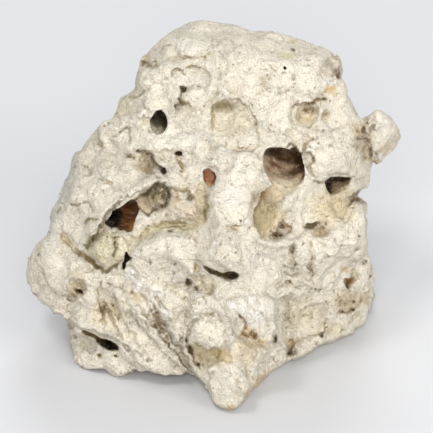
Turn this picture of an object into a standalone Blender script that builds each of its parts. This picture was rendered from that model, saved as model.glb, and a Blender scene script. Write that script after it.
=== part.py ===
"""Aquarium rock: one loose piece of holey limestone, about 225 mm wide.

The stone is laid out on a design grid whose step is 0.6 mm: x runs to the right,
y runs back from the front tip and z runs up from the surface it rests on. Its
face leans back, so the outline and the hollows of the face are laid out on a
plane through the tip that leans back 30 degrees: x across and h up that plane.

Convex lumps are placed on the grid, fused into one body and trimmed to the
outline. The worn hollows and caves are cut out of it, and the underside is cut
flat where the stone touches the surface.
"""

import math

import bmesh
import bpy
from mathutils import Euler, Matrix, Vector
from mathutils.bvhtree import BVHTree

# ---------------------------------------------------------------- dimensions
STEP = 0.0006            # one step of the design grid, in metres
LEAN = math.radians(30)  # how far the face leans back
FUSE_CELL = 0.0036       # cell size used to fuse the lumps into one body
EVEN_CELL = 0.0031       # cell size used to even out the mesh after the hollows are cut
SOFTEN_ROUNDS = 3        # smoothing rounds on the fused body
ROUGH_LARGE = 0.0036     # height of the broad waves on the surface
ROUGH_LARGE_SIZE = 0.045
ROUGH_SMALL = 0.0016     # height of the small knobs on the surface
ROUGH_SMALL_SIZE = 0.014
TRIANGLES = 8600         # size of the finished body before its base is cut flat

ACROSS = Vector((1, 0, 0))
UP_FACE = Vector((0, math.sin(LEAN), math.cos(LEAN)))
INTO_FACE = Vector((0, math.cos(LEAN), -math.sin(LEAN)))
BACK = Vector((0, 1, 0))

# The lumps: each is the convex hull of its points, in grid steps (x, y, z).
LUMPS = {
    # the main mass, leaning back towards its top
    "mass": [
        (158, 158, 316), (230, 146, 322), (300, 151, 315), (330, 166, 304), (347, 200, 292),
        (176, 205, 325), (196, 217, 332), (237, 217, 326), (290, 216, 317), (146, 198, 309), (133, 192, 283),
        (200, 262, 302), (290, 258, 290), (332, 240, 278),
        (119, 188, 260), (108, 186, 240), (82, 184, 219), (67, 182, 197), (100, 126, 216), (50, 160, 150), (57, 114, 134),
        (100, 78, 141), (160, 90, 218), (150, 72, 165), (230, 70, 228), (283, 90, 224), (322, 102, 212), (358, 142, 218),
        (372, 178, 192), (374, 186, 202),
        (160, 62, 110), (230, 46, 175), (280, 80, 150), (330, 104, 150), (362, 142, 140),
        (100, 80, 66), (150, 62, 60), (200, 60, 40), (290, 92, 50), (340, 130, 50), (370, 170, 60),
        (72, 228, 120), (110, 250, 190), (150, 276, 200), (230, 288, 190), (310, 282, 190), (357, 250, 190),
        (366, 240, 100), (140, 268, 40), (230, 286, 40), (320, 276, 40), (92, 215, 40),
    ],
    # the bulge on the left that overhangs the foot
    "bulge": [
        (60, 96, 98), (29, 138, 72), (24, 150, 92), (29, 165, 52), (38, 124, 56), (60, 102, 54), (42, 118, 112),
        (57, 114, 140), (50, 160, 150), (100, 74, 99), (100, 80, 62), (58, 215, 112), (110, 150, 110), (110, 150, 60),
        (44, 192, 60),
    ],
    # the low foot under the bulge
    "foot": [
        (72, 110, -8), (65, 108, 34), (74, 90, -8), (80, 82, -8), (105, 84, -8), (114, 66, -8), (166, 63, -8), (192, 58, 16),
        (160, 60, 48), (100, 76, 63), (84, 84, 44), (80, 160, -8), (100, 215, -8), (180, 215, -8), (70, 150, 36), (190, 100, -8),
    ],
    # the prow that runs down to the front tip
    "prow": [
        (230, -3, -8), (214, 10, -8), (204, 30, 4), (246, 18, -8), (253, 38, -8), (266, 66, -6), (225, 8, 34), (252, 22, 58),
        (236, 26, 112), (270, 46, 110), (193, 58, 40), (197, 50, 72), (276, 86, -8), (230, 120, -8), (196, 100, -8),
        (284, 80, 112), (186, 58, 104), (283, 88, 172), (236, 44, 176), (196, 56, 160),
    ],
    # the lower right shoulder
    "shoulder": [
        (272, 84, -8), (290, 98, -8), (308, 108, -8), (320, 124, -8), (340, 142, -8), (354, 152, -8), (368, 174, -8),
        (376, 206, -8), (379, 214, 25), (380, 196, 56), (374, 166, 78), (360, 138, 66), (320, 106, 61), (320, 100, 134),
        (360, 140, 132), (370, 180, 128), (370, 200, 104), (340, 118, 160), (300, 92, 160), (282, 82, 112),
        (330, 270, -8), (368, 250, 20), (366, 250, 120),
    ],
    # the base, which closes the underside
    "base": [
        (78, 86, -8), (112, 66, -8), (165, 64, -8), (200, 76, -8), (264, 70, -8), (290, 98, -8), (354, 152, -8),
        (374, 206, -8), (366, 250, -8), (320, 276, -8), (230, 284, -8), (130, 262, -8), (84, 212, -8), (72, 122, -8),
        (100, 88, 80), (165, 72, 80), (264, 78, 80), (352, 158, 80), (366, 242, 80), (320, 280, 80), (230, 286, 80),
        (130, 264, 80), (90, 212, 80),
    ],
    # the knob on the right and the neck that joins it
    "knob": [
        (373, 186, 242), (387, 188, 238), (397, 190, 224), (406, 196, 211), (402, 200, 198), (391, 196, 182), (380, 190, 172),
        (374, 170, 212), (386, 170, 210), (374, 214, 210), (392, 214, 208), (374, 200, 186),
    ],
    "neck": [
        (374, 172, 228), (374, 206, 228), (376, 174, 182), (376, 206, 184), (388, 190, 205),
        (345, 160, 236), (345, 210, 236), (345, 160, 180), (345, 210, 180),
    ],
}

# The stone's outline on the leaning plane: (x, h), in grid steps, clockwise from the top.
OUTLINE = [
    (190, 393), (206, 392), (224, 388), (240, 386), (256, 381), (278, 380), (291, 378), (303, 371), (322, 366),
    (336, 360), (343, 350), (344, 342), (342, 333), (346, 327), (348, 319), (355, 306), (360, 294), (366, 295),
    (371, 299), (377, 303), (387, 298), (396, 288), (404, 279), (401, 269), (396, 259), (386, 252), (380, 244),
    (371, 248), (372, 238), (370, 227), (361, 221), (354, 215), (360, 214), (369, 207), (367, 194), (367, 169),
    (370, 154), (375, 142), (377, 122), (376, 103), (371, 91), (361, 81), (347, 75), (334, 70), (321, 65),
    (308, 55), (297, 49), (284, 46), (273, 42), (259, 26), (244, 8), (230, -2), (216, 4), (208, 14), (203, 28),
    (193, 36), (182, 37), (166, 31), (153, 36), (141, 40), (125, 36), (113, 34), (104, 43), (88, 39), (78, 44),
    (71, 58), (66, 80), (59, 93), (47, 103), (33, 108), (27, 126), (25, 142), (28, 160), (37, 170), (48, 177),
    (49, 192), (53, 207), (61, 221), (69, 238), (73, 257), (84, 268), (95, 284), (111, 292), (119, 310),
    (133, 322), (136, 338), (139, 354), (149, 368), (160, 380), (176, 385), (184, 390),
]

# Hollows of the face: (x, h) on the leaning plane, half width, half height, reach into
# the stone, how far its middle lies under the surface, turn in degrees, and the
# direction it runs in. They are found on the body by sighting down on it.
LEVEL = BACK
SQUARE = INTO_FACE
FACE_HOLLOWS = {
    "left_cave_arm": (154, 214, 18, 10, 14, 0, 24, LEVEL),
    "crown_bowl": (235, 287, 23, 25, 13, 0, 0, SQUARE),
    "heart_left": (178, 335, 10, 15, 10, 0, 8, SQUARE),
    "heart_right": (197, 335, 14, 14, 9, 0, 0, SQUARE),
    "heart_crevice": (185, 314, 5, 11, 12, 0, -10, SQUARE),
    "shoulder_bowl": (306, 294, 11, 11, 18, 0, 0, LEVEL),
    "small_bowl": (327, 296, 5, 6, 9, 0, 0, LEVEL),
    "box_hollow": (351, 129, 8, 8, 20, 2, 0, LEVEL),
    "prow_bowl": (210, 67, 22, 28, 10, 0, -6, SQUARE),
    "red_hole": (209, 235, 6, 8, 16, 0, 0, LEVEL),
    "olive_channel": (202, 205, 5, 22, 8, 0, 4, SQUARE),
    "ledge_crevice": (224, 136, 17, 5, 13, 0, -20, LEVEL),
    "side_pit": (316, 182, 11, 7, 12, 2, -24, LEVEL),
    "bulge_pit": (78, 126, 9, 11, 12, 2, 10, LEVEL),
}

# Caves of the face: (x, h) on the leaning plane, half width, half height, depth of the
# straight part, depth of the rounded end and turn in degrees. They run level.
CAVES = {
    "main_cave": (283, 241, 19, 23, 34, 20, -8),
    "second_cave": (267, 199, 16, 24, 16, 14, 10),
    "left_cave": (121, 196, 18, 13, 38, 16, 32),
    "low_cave": (101, 70, 16, 9.5, 30, 12, -14),
    "right_cave": (340, 227, 15, 10, 30, 12, -4),
    "round_cave": (157, 290, 9.5, 12.5, 24, 12, 12),
}

# Hollows on the sides, the back and the top: centre, half sizes and turn in degrees
# about x, y and z, in grid steps (x, y, z).
HOLLOWS = {
    "back_bowl": ((262, 292, 118), (34, 24, 30), (0, 0, 0)),
    "back_cave": ((150, 274, 206), (17, 40, 18), (0, 0, -12)),
    "back_small_cave": ((318, 270, 214), (13, 32, 12), (0, 0, 14)),
    "flank_cave": ((50, 206, 112), (32, 18, 15), (0, 0, -30)),
    "shoulder_cave": ((376, 236, 88), (28, 15, 16), (0, 0, 0)),
    "top_bowl": ((250, 206, 328), (24, 20, 13), (0, 0, 0)),
}

# Gaps under the stone, between the places where it touches the surface.
ARCHES = {
    "front_arch": ((160, 62, -2), (38, 44, 16), (0, 0, 0)),
    "side_gap": ((304, 98, -2), (14, 20, 6), (0, 0, 38)),
    "left_gap": ((96, 80, -2), (9, 26, 6), (0, 0, 0)),
    "back_arch": ((205, 288, -2), (44, 50, 8), (0, 0, 0)),
    "middle_hollow": ((236, 176, -2), (52, 42, 7), (0, 0, 20)),
    "left_hollow": ((140, 186, -2), (34, 30, 6.5), (0, 0, 0)),
}


def clear_scene():
    for obj in list(bpy.data.objects):
        bpy.data.objects.remove(obj, do_unlink=True)


def collection(name):
    made = bpy.data.collections.new(name)
    bpy.context.scene.collection.children.link(made)
    return made


def add_object(name, bm, where):
    mesh = bpy.data.meshes.new(name)
    bm.to_mesh(mesh)
    bm.free()
    obj = bpy.data.objects.new(name, mesh)
    where.objects.link(obj)
    return obj


def cutter(obj):
    obj.hide_render = True
    obj.display_type = "WIRE"
    return obj


def face_outwards(bm):
    if bm.calc_volume(signed=True) < 0:
        bmesh.ops.reverse_faces(bm, faces=bm.faces)


def lump(points, bm):
    """Adds the convex hull of the points to bm."""
    verts = [bm.verts.new(Vector(p) * STEP) for p in points]
    made = bmesh.ops.convex_hull(bm, input=verts)
    spare = {g for g in made["geom_interior"] + made["geom_unused"] if isinstance(g, bmesh.types.BMVert)}
    if spare:
        bmesh.ops.delete(bm, geom=list(spare), context="VERTS")


def on_face(x, h, depth=0.0):
    """A point of the leaning plane, moved into the stone by depth, all in grid steps."""
    return (ACROSS * x + UP_FACE * h + INTO_FACE * depth) * STEP


def outline_prism(where):
    """The outline, carried straight through the stone square to the leaning plane."""
    bm = bmesh.new()
    face = bm.faces.new([bm.verts.new(on_face(x, h, -260)) for x, h in OUTLINE])
    made = bmesh.ops.extrude_face_region(bm, geom=[face])
    moved = [g for g in made["geom"] if isinstance(g, bmesh.types.BMVert)]
    bmesh.ops.translate(bm, vec=INTO_FACE * 760 * STEP, verts=moved)
    face_outwards(bm)
    return cutter(add_object("cut_outline", bm, where))


def ball(name, matrix, where, segments=24, rings=14):
    """A cutter: a unit sphere taken through the matrix."""
    bm = bmesh.new()
    bmesh.ops.create_uvsphere(bm, u_segments=segments, v_segments=rings, radius=1.0)
    bmesh.ops.transform(bm, matrix=matrix, verts=bm.verts)
    face_outwards(bm)
    return cutter(add_object(name, bm, where))


def face_ball(name, body, spec, where):
    """A hollow of the face: an ellipse on the leaning plane that reaches along its direction."""
    x, h, half_x, half_h, reach, sunk, turn, direction = spec
    hit = body.ray_cast(on_face(x, h, -250), INTO_FACE)[0]
    angle = math.radians(turn)
    along = ACROSS * math.cos(angle) + UP_FACE * math.sin(angle)
    upward = UP_FACE * math.cos(angle) - ACROSS * math.sin(angle)
    columns = [along * half_x, upward * half_h, direction * reach]
    matrix = Matrix([[c[row] * STEP for c in columns] + [0] for row in range(3)] + [[0, 0, 0, 1]])
    return ball(name, Matrix.Translation(hit + direction * sunk * STEP) @ matrix, where)


def cave(name, body, spec, where):
    """A level tunnel with a rounded end, whose mouth is an ellipse on the leaning plane."""
    x, h, half_x, half_h, straight, end, turn = spec
    hit = body.ray_cast(on_face(x, h, -250), INTO_FACE)[0]
    angle = math.radians(turn)
    along = ACROSS * math.cos(angle) + UP_FACE * math.sin(angle)
    upward = UP_FACE * math.cos(angle) - ACROSS * math.sin(angle)
    bm = bmesh.new()
    bmesh.ops.create_uvsphere(bm, u_segments=24, v_segments=14, radius=1.0)
    for vert in bm.verts:
        u, v, w = vert.co
        # the far half is the rounded end, and the near half is carried out past the mouth
        depth = straight + w * end if w > -0.01 else -60 + w * end
        vert.co = hit + (along * (u * half_x) + upward * (v * half_h) + BACK * depth) * STEP
    face_outwards(bm)
    return cutter(add_object(name, bm, where))


def placed_ball(name, spec, where):
    centre, half, turn = spec
    size = Matrix.Diagonal((*[v * STEP for v in half], 1.0))
    spin = Euler([math.radians(a) for a in turn]).to_matrix().to_4x4()
    return ball(name, Matrix.Translation(Vector(centre) * STEP) @ spin @ size, where)


def remesh(obj, name, cell):
    mod = obj.modifiers.new(name, "REMESH")
    mod.mode = "VOXEL"
    mod.voxel_size = cell


def boolean(obj, other, operation="DIFFERENCE"):
    mod = obj.modifiers.new(other.name, "BOOLEAN")
    mod.operation = operation
    mod.solver = "EXACT"
    mod.object = other


def displace(obj, name, height, size, depth):
    texture = bpy.data.textures.new(name, type="CLOUDS")
    texture.noise_scale = size
    texture.noise_depth = depth
    texture.noise_basis = "ORIGINAL_PERLIN"
    mod = obj.modifiers.new(name, "DISPLACE")
    mod.texture = texture
    mod.texture_coords = "GLOBAL"
    mod.strength = height
    mod.mid_level = 0.5


def settle(obj):
    """Replaces the object's mesh with what its modifiers make of it."""
    bpy.context.view_layer.update()
    graph = bpy.context.evaluated_depsgraph_get()
    mesh = bpy.data.meshes.new_from_object(obj.evaluated_get(graph))
    mesh.name = obj.name
    obj.modifiers.clear()
    obj.data = mesh


def largest_body(obj):
    """Removes any crumb that a cut has set free, and keeps the stone itself."""
    bm = bmesh.new()
    bm.from_mesh(obj.data)
    left, bodies = set(bm.verts), []
    while left:
        todo, body = [left.pop()], []
        while todo:
            vert = todo.pop()
            body.append(vert)
            for edge in vert.link_edges:
                other = edge.other_vert(vert)
                if other in left:
                    left.discard(other)
                    todo.append(other)
        bodies.append(body)
    bodies.sort(key=len)
    for body in bodies[:-1]:
        bmesh.ops.delete(bm, geom=body, context="VERTS")
    bm.to_mesh(obj.data)
    bm.free()


def make_stone(parts, cutters):
    bm = bmesh.new()
    for points in LUMPS.values():
        lump(points, bm)
    bmesh.ops.recalc_face_normals(bm, faces=bm.faces)
    stone = add_object("rock", bm, parts)

    # one body, trimmed to the outline and weathered
    remesh(stone, "fuse", FUSE_CELL)
    boolean(stone, outline_prism(cutters), "INTERSECT")
    remesh(stone, "trimmed", FUSE_CELL)
    soften = stone.modifiers.new("soften", "SMOOTH")
    soften.factor = 0.5
    soften.iterations = SOFTEN_ROUNDS
    displace(stone, "waves", ROUGH_LARGE, ROUGH_LARGE_SIZE, 2)
    displace(stone, "knobs", ROUGH_SMALL, ROUGH_SMALL_SIZE, 1)
    settle(stone)

    # its hollows
    bm = bmesh.new()
    bm.from_mesh(stone.data)
    body = BVHTree.FromBMesh(bm)
    bm.free()
    for name, spec in FACE_HOLLOWS.items():
        boolean(stone, face_ball("cut_" + name, body, spec, cutters))
    for name, spec in CAVES.items():
        boolean(stone, cave("cut_" + name, body, spec, cutters))
    for name, spec in {**HOLLOWS, **ARCHES}.items():
        boolean(stone, placed_ball("cut_" + name, spec, cutters))
    remesh(stone, "even", EVEN_CELL)
    settle(stone)
    largest_body(stone)

    thin = stone.modifiers.new("thin", "DECIMATE")
    stone.data.calc_loop_triangles()
    thin.ratio = min(1.0, TRIANGLES / len(stone.data.loop_triangles))
    thin.use_collapse_triangulate = True
    settle(stone)

    # the surface it rests on cuts its feet flat
    bm = bmesh.new()
    bmesh.ops.create_cube(bm, size=1.0)
    bmesh.ops.scale(bm, vec=(0.6, 0.6, 0.1), verts=bm.verts)
    bmesh.ops.translate(bm, vec=(0.12, 0.09, -0.05), verts=bm.verts)
    boolean(stone, cutter(add_object("cut_ground", bm, cutters)))
    settle(stone)
    largest_body(stone)
    return stone


def to_origin(obj):
    """Moves the stone so that the centre of its box's bottom face is the origin."""
    xs, ys, zs = zip(*[v.co for v in obj.data.vertices])
    middle = Vector(((min(xs) + max(xs)) / 2, (min(ys) + max(ys)) / 2, min(zs)))
    obj.data.transform(Matrix.Translation(-middle))
    print("moved by", [round(c * 1000, 4) for c in middle], "mm; size",
          [round((max(a) - min(a)) * 1000, 2) for a in (xs, ys, zs)], "mm")


def finish(obj):
    material = bpy.data.materials.new("limestone")
    material.use_nodes = True
    shader = material.node_tree.nodes["Principled BSDF"]
    shader.inputs["Base Color"].default_value = (0.80, 0.74, 0.62, 1.0)
    shader.inputs["Roughness"].default_value = 0.9
    shader.inputs["Metallic"].default_value = 0.0
    obj.data.materials.clear()
    obj.data.materials.append(material)
    obj.data.shade_smooth()
    obj.data.set_sharp_from_angle(angle=math.radians(35))


clear_scene()
parts = collection("aquarium rock")
cutters = collection("cutters")
cutters.hide_render = True
stone = make_stone(parts, cutters)
to_origin(stone)
finish(stone)
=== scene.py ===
"""Looks of the aquarium rock: a leaning piece of holey limestone on a pale floor.

The stone is sculpted as a distance field in millimetres, in the frame of the CAD
part: convex lumps are fused and trimmed to the outline, the worn relief of the
face is laid over it from the picture plane, caves and bowls are carved, and the
rest is weathered with seeded noise and pits. The field is turned into one mesh,
which carries as attributes the colours of its stains, with painted shade in its
hollows, creases and undersides and painted light on its upper faces.
"""

import math
import time

import bmesh
import bpy
import numpy as np
import openvdb as vdb
from mathutils import Matrix, Vector


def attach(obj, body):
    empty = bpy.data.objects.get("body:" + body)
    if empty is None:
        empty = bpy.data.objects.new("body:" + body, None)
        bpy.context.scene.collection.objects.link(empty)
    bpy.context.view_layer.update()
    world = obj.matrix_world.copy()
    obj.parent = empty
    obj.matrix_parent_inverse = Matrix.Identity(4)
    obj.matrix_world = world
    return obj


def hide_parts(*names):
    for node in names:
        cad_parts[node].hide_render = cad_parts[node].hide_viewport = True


T0 = time.perf_counter()
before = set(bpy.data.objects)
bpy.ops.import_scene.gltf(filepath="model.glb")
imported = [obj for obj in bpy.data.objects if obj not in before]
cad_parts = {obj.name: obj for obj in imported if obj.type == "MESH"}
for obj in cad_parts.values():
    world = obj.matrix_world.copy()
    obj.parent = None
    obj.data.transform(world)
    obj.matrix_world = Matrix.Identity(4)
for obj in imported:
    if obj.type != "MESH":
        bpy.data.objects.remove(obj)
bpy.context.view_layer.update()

# ------------------------------------------------------------------ layout
STEP = 0.6                                   # the design grid, in mm
SHIFT = np.array([128.2146, 87.4862, 0.0])   # the design grid's origin lies here from the part's
LEAN = math.radians(30)
ACROSS = np.array([1.0, 0.0, 0.0])
UP = np.array([0.0, math.sin(LEAN), math.cos(LEAN)])
INTO = np.array([0.0, math.cos(LEAN), -math.sin(LEAN)])
BACK = np.array([0.0, 1.0, 0.0])
FRAME_PX = 433.0
MID = FRAME_PX / 2
CAM_DIST = 2500.0
FOCAL = CAM_DIST / STEP                      # in pixels
REF = (ACROSS * MID + UP * (412 - MID) + INTO * 40) * STEP - SHIFT
CAM = REF - INTO * CAM_DIST

VOX = 0.8                 # the fine grid, in mm
COARSE = 3.2
LO = np.array([-119.0, -92.0, -2.4])
HI = np.array([119.0, 92.0, 204.8])
N = tuple(int(math.ceil(v)) + 1 for v in (HI - LO) / VOX)
GX, GY, GZ = (LO[i] + np.arange(N[i], dtype=np.float32) * VOX for i in range(3))
TRIANGLES = 196000


def say(*words):
    print("scene %6.1f s" % (time.perf_counter() - T0), *words, flush=True)


def project(p):
    """Picture position and depth of points in mm, (..., 3)."""
    d = p - CAM
    depth = d @ INTO
    return MID + FOCAL * (d @ ACROSS) / depth, MID - FOCAL * (d @ UP) / depth, depth


def at(u, v, depth):
    """The point seen at (u, v) at that depth."""
    return CAM + (ACROSS * ((u - MID) / FOCAL) + UP * ((MID - v) / FOCAL) + INTO) * depth


# ------------------------------------------------------------------- tools
def smax(a, b, k):
    h = np.clip(0.5 + 0.5 * (a - b) / k, 0, 1)
    return b + (a - b) * h + k * h * (1 - h)


def smin(a, b, k):
    return -smax(-a, -b, k)


def ramp(x, a, b):
    """0 at a, 1 at b, smooth in between."""
    t = np.clip((x - a) / (b - a), 0, 1)
    return t * t * (3 - 2 * t)


def band_noise(shape, cell, size, seed, sharp=1.0):
    """A smooth random field of unit strength whose waves are about `size` long."""
    rng = np.random.default_rng(seed)
    spectrum = np.fft.rfftn(rng.standard_normal(shape))
    ks = np.meshgrid(*[np.fft.fftfreq(n, cell) for n in shape[:-1]], np.fft.rfftfreq(shape[-1], cell), indexing="ij")
    k2 = sum(k * k for k in ks) * size * size
    spectrum *= (k2 * np.exp(1 - k2)) ** sharp
    noise = np.fft.irfftn(spectrum, s=shape)
    return (noise / noise.std()).astype(np.float32)


def upmat(fine, lo, n):
    """Cubic B-spline weights that take n coarse samples from lo to the fine positions."""
    t = (fine - lo) / COARSE
    i = np.floor(t).astype(int)
    f = t - i
    w = np.stack([(1 - f) ** 3 / 6, (3 * f**3 - 6 * f**2 + 4) / 6, (-3 * f**3 + 3 * f**2 + 3 * f + 1) / 6, f**3 / 6])
    m = np.zeros((len(fine), n), np.float32)
    rows = np.arange(len(fine))
    for j in range(4):
        np.add.at(m, (rows, np.clip(i + j - 1, 0, n - 1)), w[j])
    return m


CLO = LO - 3 * COARSE
CN = tuple(int(math.ceil(v)) + 7 for v in (HI - LO) / COARSE)
CX, CY, CZ = (CLO[i] + np.arange(CN[i]) * COARSE for i in range(3))
UPS = [upmat(g, CLO[i], CN[i]) for i, g in enumerate((GX, GY, GZ))]


def upsample(c):
    """A field on the coarse grid, taken to the fine grid."""
    a = np.tensordot(UPS[0], c.astype(np.float32), (1, 0))
    a = np.moveaxis(np.tensordot(UPS[1], a, (1, 1)), 0, 1)
    return np.ascontiguousarray(a @ UPS[2].T)


def sample(field, p, lo=LO, cell=VOX):
    """Trilinear samples of a field at points (n, 3)."""
    t = (p - lo) / cell
    top = np.array(field.shape) - 1.001
    t = np.clip(t, 0, top)
    i = t.astype(np.int32)
    f = (t - i).astype(np.float32)
    sy, sx = field.shape[2], field.shape[1] * field.shape[2]
    flat = field.reshape(-1)
    base = i[:, 0].astype(np.int64) * sx + i[:, 1] * sy + i[:, 2]
    out = 0
    for dx in (0, 1):
        wx = f[:, 0] if dx else 1 - f[:, 0]
        for dy in (0, 1):
            wy = wx * (f[:, 1] if dy else 1 - f[:, 1])
            for dz in (0, 1):
                w = wy * (f[:, 2] if dz else 1 - f[:, 2])
                out = out + w * flat[base + dx * sx + dy * sy + dz]
    return out


def curve(points, closed=False, gap=0.5):
    """A smooth line through the points, sampled every `gap` pixels."""
    p = np.array(points, float)
    if len(p) == 2 and not closed:
        n = max(2, int(np.hypot(*(p[1] - p[0])) / gap))
        return p[0] + (p[1] - p[0]) * np.linspace(0, 1, n)[:, None]
    if closed:
        q = np.concatenate([p[-1:], p, p[:2]])
    else:
        q = np.concatenate([2 * p[:1] - p[1:2], p, 2 * p[-1:] - p[-2:-1]])
    out = []
    for a, b, c, d in zip(q[:-3], q[1:-2], q[2:-1], q[3:]):
        n = max(2, int(np.hypot(*(c - b)) / gap))
        t = np.linspace(0, 1, n, endpoint=False)[:, None]
        out.append(0.5 * (2 * b + (c - a) * t + (2 * a - 5 * b + 4 * c - d) * t**2 + (3 * b - a - 3 * c + d) * t**3))
    if not closed:
        out.append(p[-1:])
    return np.concatenate(out)


def polygon_distance(points, u, v):
    """Signed distance to a closed outline, below 0 inside."""
    a = np.asarray(points, float)
    b = np.roll(a, -1, 0)
    best = np.full(u.shape, 1e9)
    inside = np.zeros(u.shape, bool)
    for (x0, y0), (x1, y1) in zip(a, b):
        dx, dy = x1 - x0, y1 - y0
        t = np.clip(((u - x0) * dx + (v - y0) * dy) / (dx * dx + dy * dy + 1e-9), 0, 1)
        best = np.minimum(best, (u - x0 - t * dx) ** 2 + (v - y0 - t * dy) ** 2)
        if y0 != y1:
            cross = ((y0 > v) != (y1 > v)) & (u < (x1 - x0) * (v - y0) / (y1 - y0) + x0)
            inside ^= cross
    return np.where(inside, -1, 1) * np.sqrt(best)


# ------------------------------------------------------ the picture-plane sheets
SHEET = 2                                    # samples per pixel
SN = int(FRAME_PX * SHEET)
WOBBLE = [band_noise((SN, SN), 1 / SHEET, s, seed) for s, seed in ((14, 71), (14, 72), (5, 73), (5, 74))]


class Sheet:
    """A height or a colour laid over the picture plane."""

    def __init__(self, depth=1):
        self.a = np.zeros((SN, SN, depth), np.float32)

    def window(self, u0, u1, v0, v1, wobble=1.0):
        i0, i1 = max(0, int(u0 * SHEET)), min(SN, int(u1 * SHEET) + 1)
        j0, j1 = max(0, int(v0 * SHEET)), min(SN, int(v1 * SHEET) + 1)
        u, v = np.meshgrid((np.arange(i0, i1) + 0.5) / SHEET, (np.arange(j0, j1) + 0.5) / SHEET, indexing="ij")
        s = (slice(i0, i1), slice(j0, j1))
        u = u + wobble * (0.7 * WOBBLE[0][s] + 0.4 * WOBBLE[2][s])
        v = v + wobble * (0.7 * WOBBLE[1][s] + 0.4 * WOBBLE[3][s])
        return s, u, v

    def line_weight(self, points, width, taper=True, wobble=1.0, reach=3.0):
        c = curve(points)
        w = width * reach
        s, u, v = self.window(c[:, 0].min() - w, c[:, 0].max() + w, c[:, 1].min() - w, c[:, 1].max() + w, wobble)
        best = np.full(u.shape, 1e9)
        where = np.zeros(u.shape, int)
        for k, (x, y) in enumerate(c):
            d = (u - x) ** 2 + (v - y) ** 2
            near = d < best
            best[near] = d[near]
            where[near] = k
        ends = np.ones(len(c))
        if taper:
            n = min(len(c) // 2, max(1, int(width * 3)))
            ends[:n] = np.linspace(0.15, 1, n)
            ends[-n:] = np.minimum(ends[-n:], np.linspace(1, 0.15, n))
        return s, np.sqrt(best) / width, ends[where], where, c, u, v

    def line(self, points, width, height, **more):
        s, d, e, *_ = self.line_weight(points, width, **more)
        self.a[s][..., 0] += height * e * np.exp(-d * d)

    def edge(self, points, reach, height, **more):
        """A ledge: the surface is raised on the left of the line as it runs, and falls away with distance."""
        s, d, e, where, c, u, v = self.line_weight(points, reach, **more)
        t = np.gradient(c, axis=0)[where]
        side = t[..., 0] * (v - c[where][..., 1]) - t[..., 1] * (u - c[where][..., 0])
        side /= np.hypot(t[..., 0], t[..., 1]) + 1e-9
        self.a[s][..., 0] += height * e * np.exp(-d * d) * (1 - ramp(side, -0.8, 0.8))

    def oval(self, u0, v0, ru, rv, turn=0.0, grow=1.0, wobble=1.0):
        w = max(ru, rv) * grow + 3
        s, u, v = self.window(u0 - w, u0 + w, v0 - w, v0 + w, wobble)
        a = math.radians(turn)
        x, y = u - u0, v - v0
        return s, (x * math.cos(a) + y * math.sin(a)) / ru, (y * math.cos(a) - x * math.sin(a)) / rv

    def spot(self, u0, v0, ru, rv, height, turn=0.0, wobble=1.0):
        """A soft bump or dent."""
        s, x, y = self.oval(u0, v0, ru, rv, turn, 2.4, wobble)
        self.a[s][..., 0] += height * np.exp(-(x * x + y * y))

    def bowl(self, u0, v0, ru, rv, depth, turn=0.0, steep=(0, 0), rim=0.0, wobble=1.0, power=4):
        """A bowl with a firm edge, deeper towards `steep`, with a low rim."""
        s, x, y = self.oval(u0, v0, ru, rv, turn, 1.7, wobble)
        r = np.hypot(x, y)
        inner = np.clip(1 - r**power, 0, 1)
        lean = 1 + steep[0] * x + steep[1] * y
        self.a[s][..., 0] += -depth * inner * np.clip(lean, 0.1, 2) + rim * np.exp(-(((r - 1.12) / 0.16) ** 2)) * np.clip(lean, 0, 2)

    def block(self, outline, height, inner=4.0, outer=1.2, tilt=(0, 0), wobble=1.0):
        """A raised or sunken piece of the face with a firm border, `inner` and `outer` pixels wide."""
        m = curve(outline, closed=True, gap=1.5)
        s, u, v = self.window(m[:, 0].min() - outer - 3, m[:, 0].max() + outer + 3,
                              m[:, 1].min() - outer - 3, m[:, 1].max() + outer + 3, wobble)
        d = polygon_distance(m, u, v)
        rise = np.where(d > 0, 0.45 * (1 - np.clip(d / outer, 0, 1)) ** 2, 0.45 + 0.55 * np.sqrt(np.clip(-d / inner, 0, 1)))
        rise[d > outer] = 0
        half = 0.5 * np.ptp(m, axis=0)
        lean = 1 + tilt[0] * (u - m[:, 0].mean()) / half[0] + tilt[1] * (v - m[:, 1].mean()) / half[1]
        value = height * rise * lean
        old = self.a[s][..., 0]
        self.a[s][..., 0] = np.maximum(old, value) if height > 0 else np.minimum(old, value)

    def read(self, u, v):
        """Bilinear samples."""
        x = np.clip(u * SHEET - 0.5, 0, SN - 1.001)
        y = np.clip(v * SHEET - 0.5, 0, SN - 1.001)
        i, j = x.astype(np.int32), y.astype(np.int32)
        f, g = (x - i).astype(np.float32)[..., None], (y - j).astype(np.float32)[..., None]
        a = self.a
        return a[i, j] * (1 - f) * (1 - g) + a[i + 1, j] * f * (1 - g) + a[i, j + 1] * (1 - f) * g + a[i + 1, j + 1] * f * g


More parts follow.
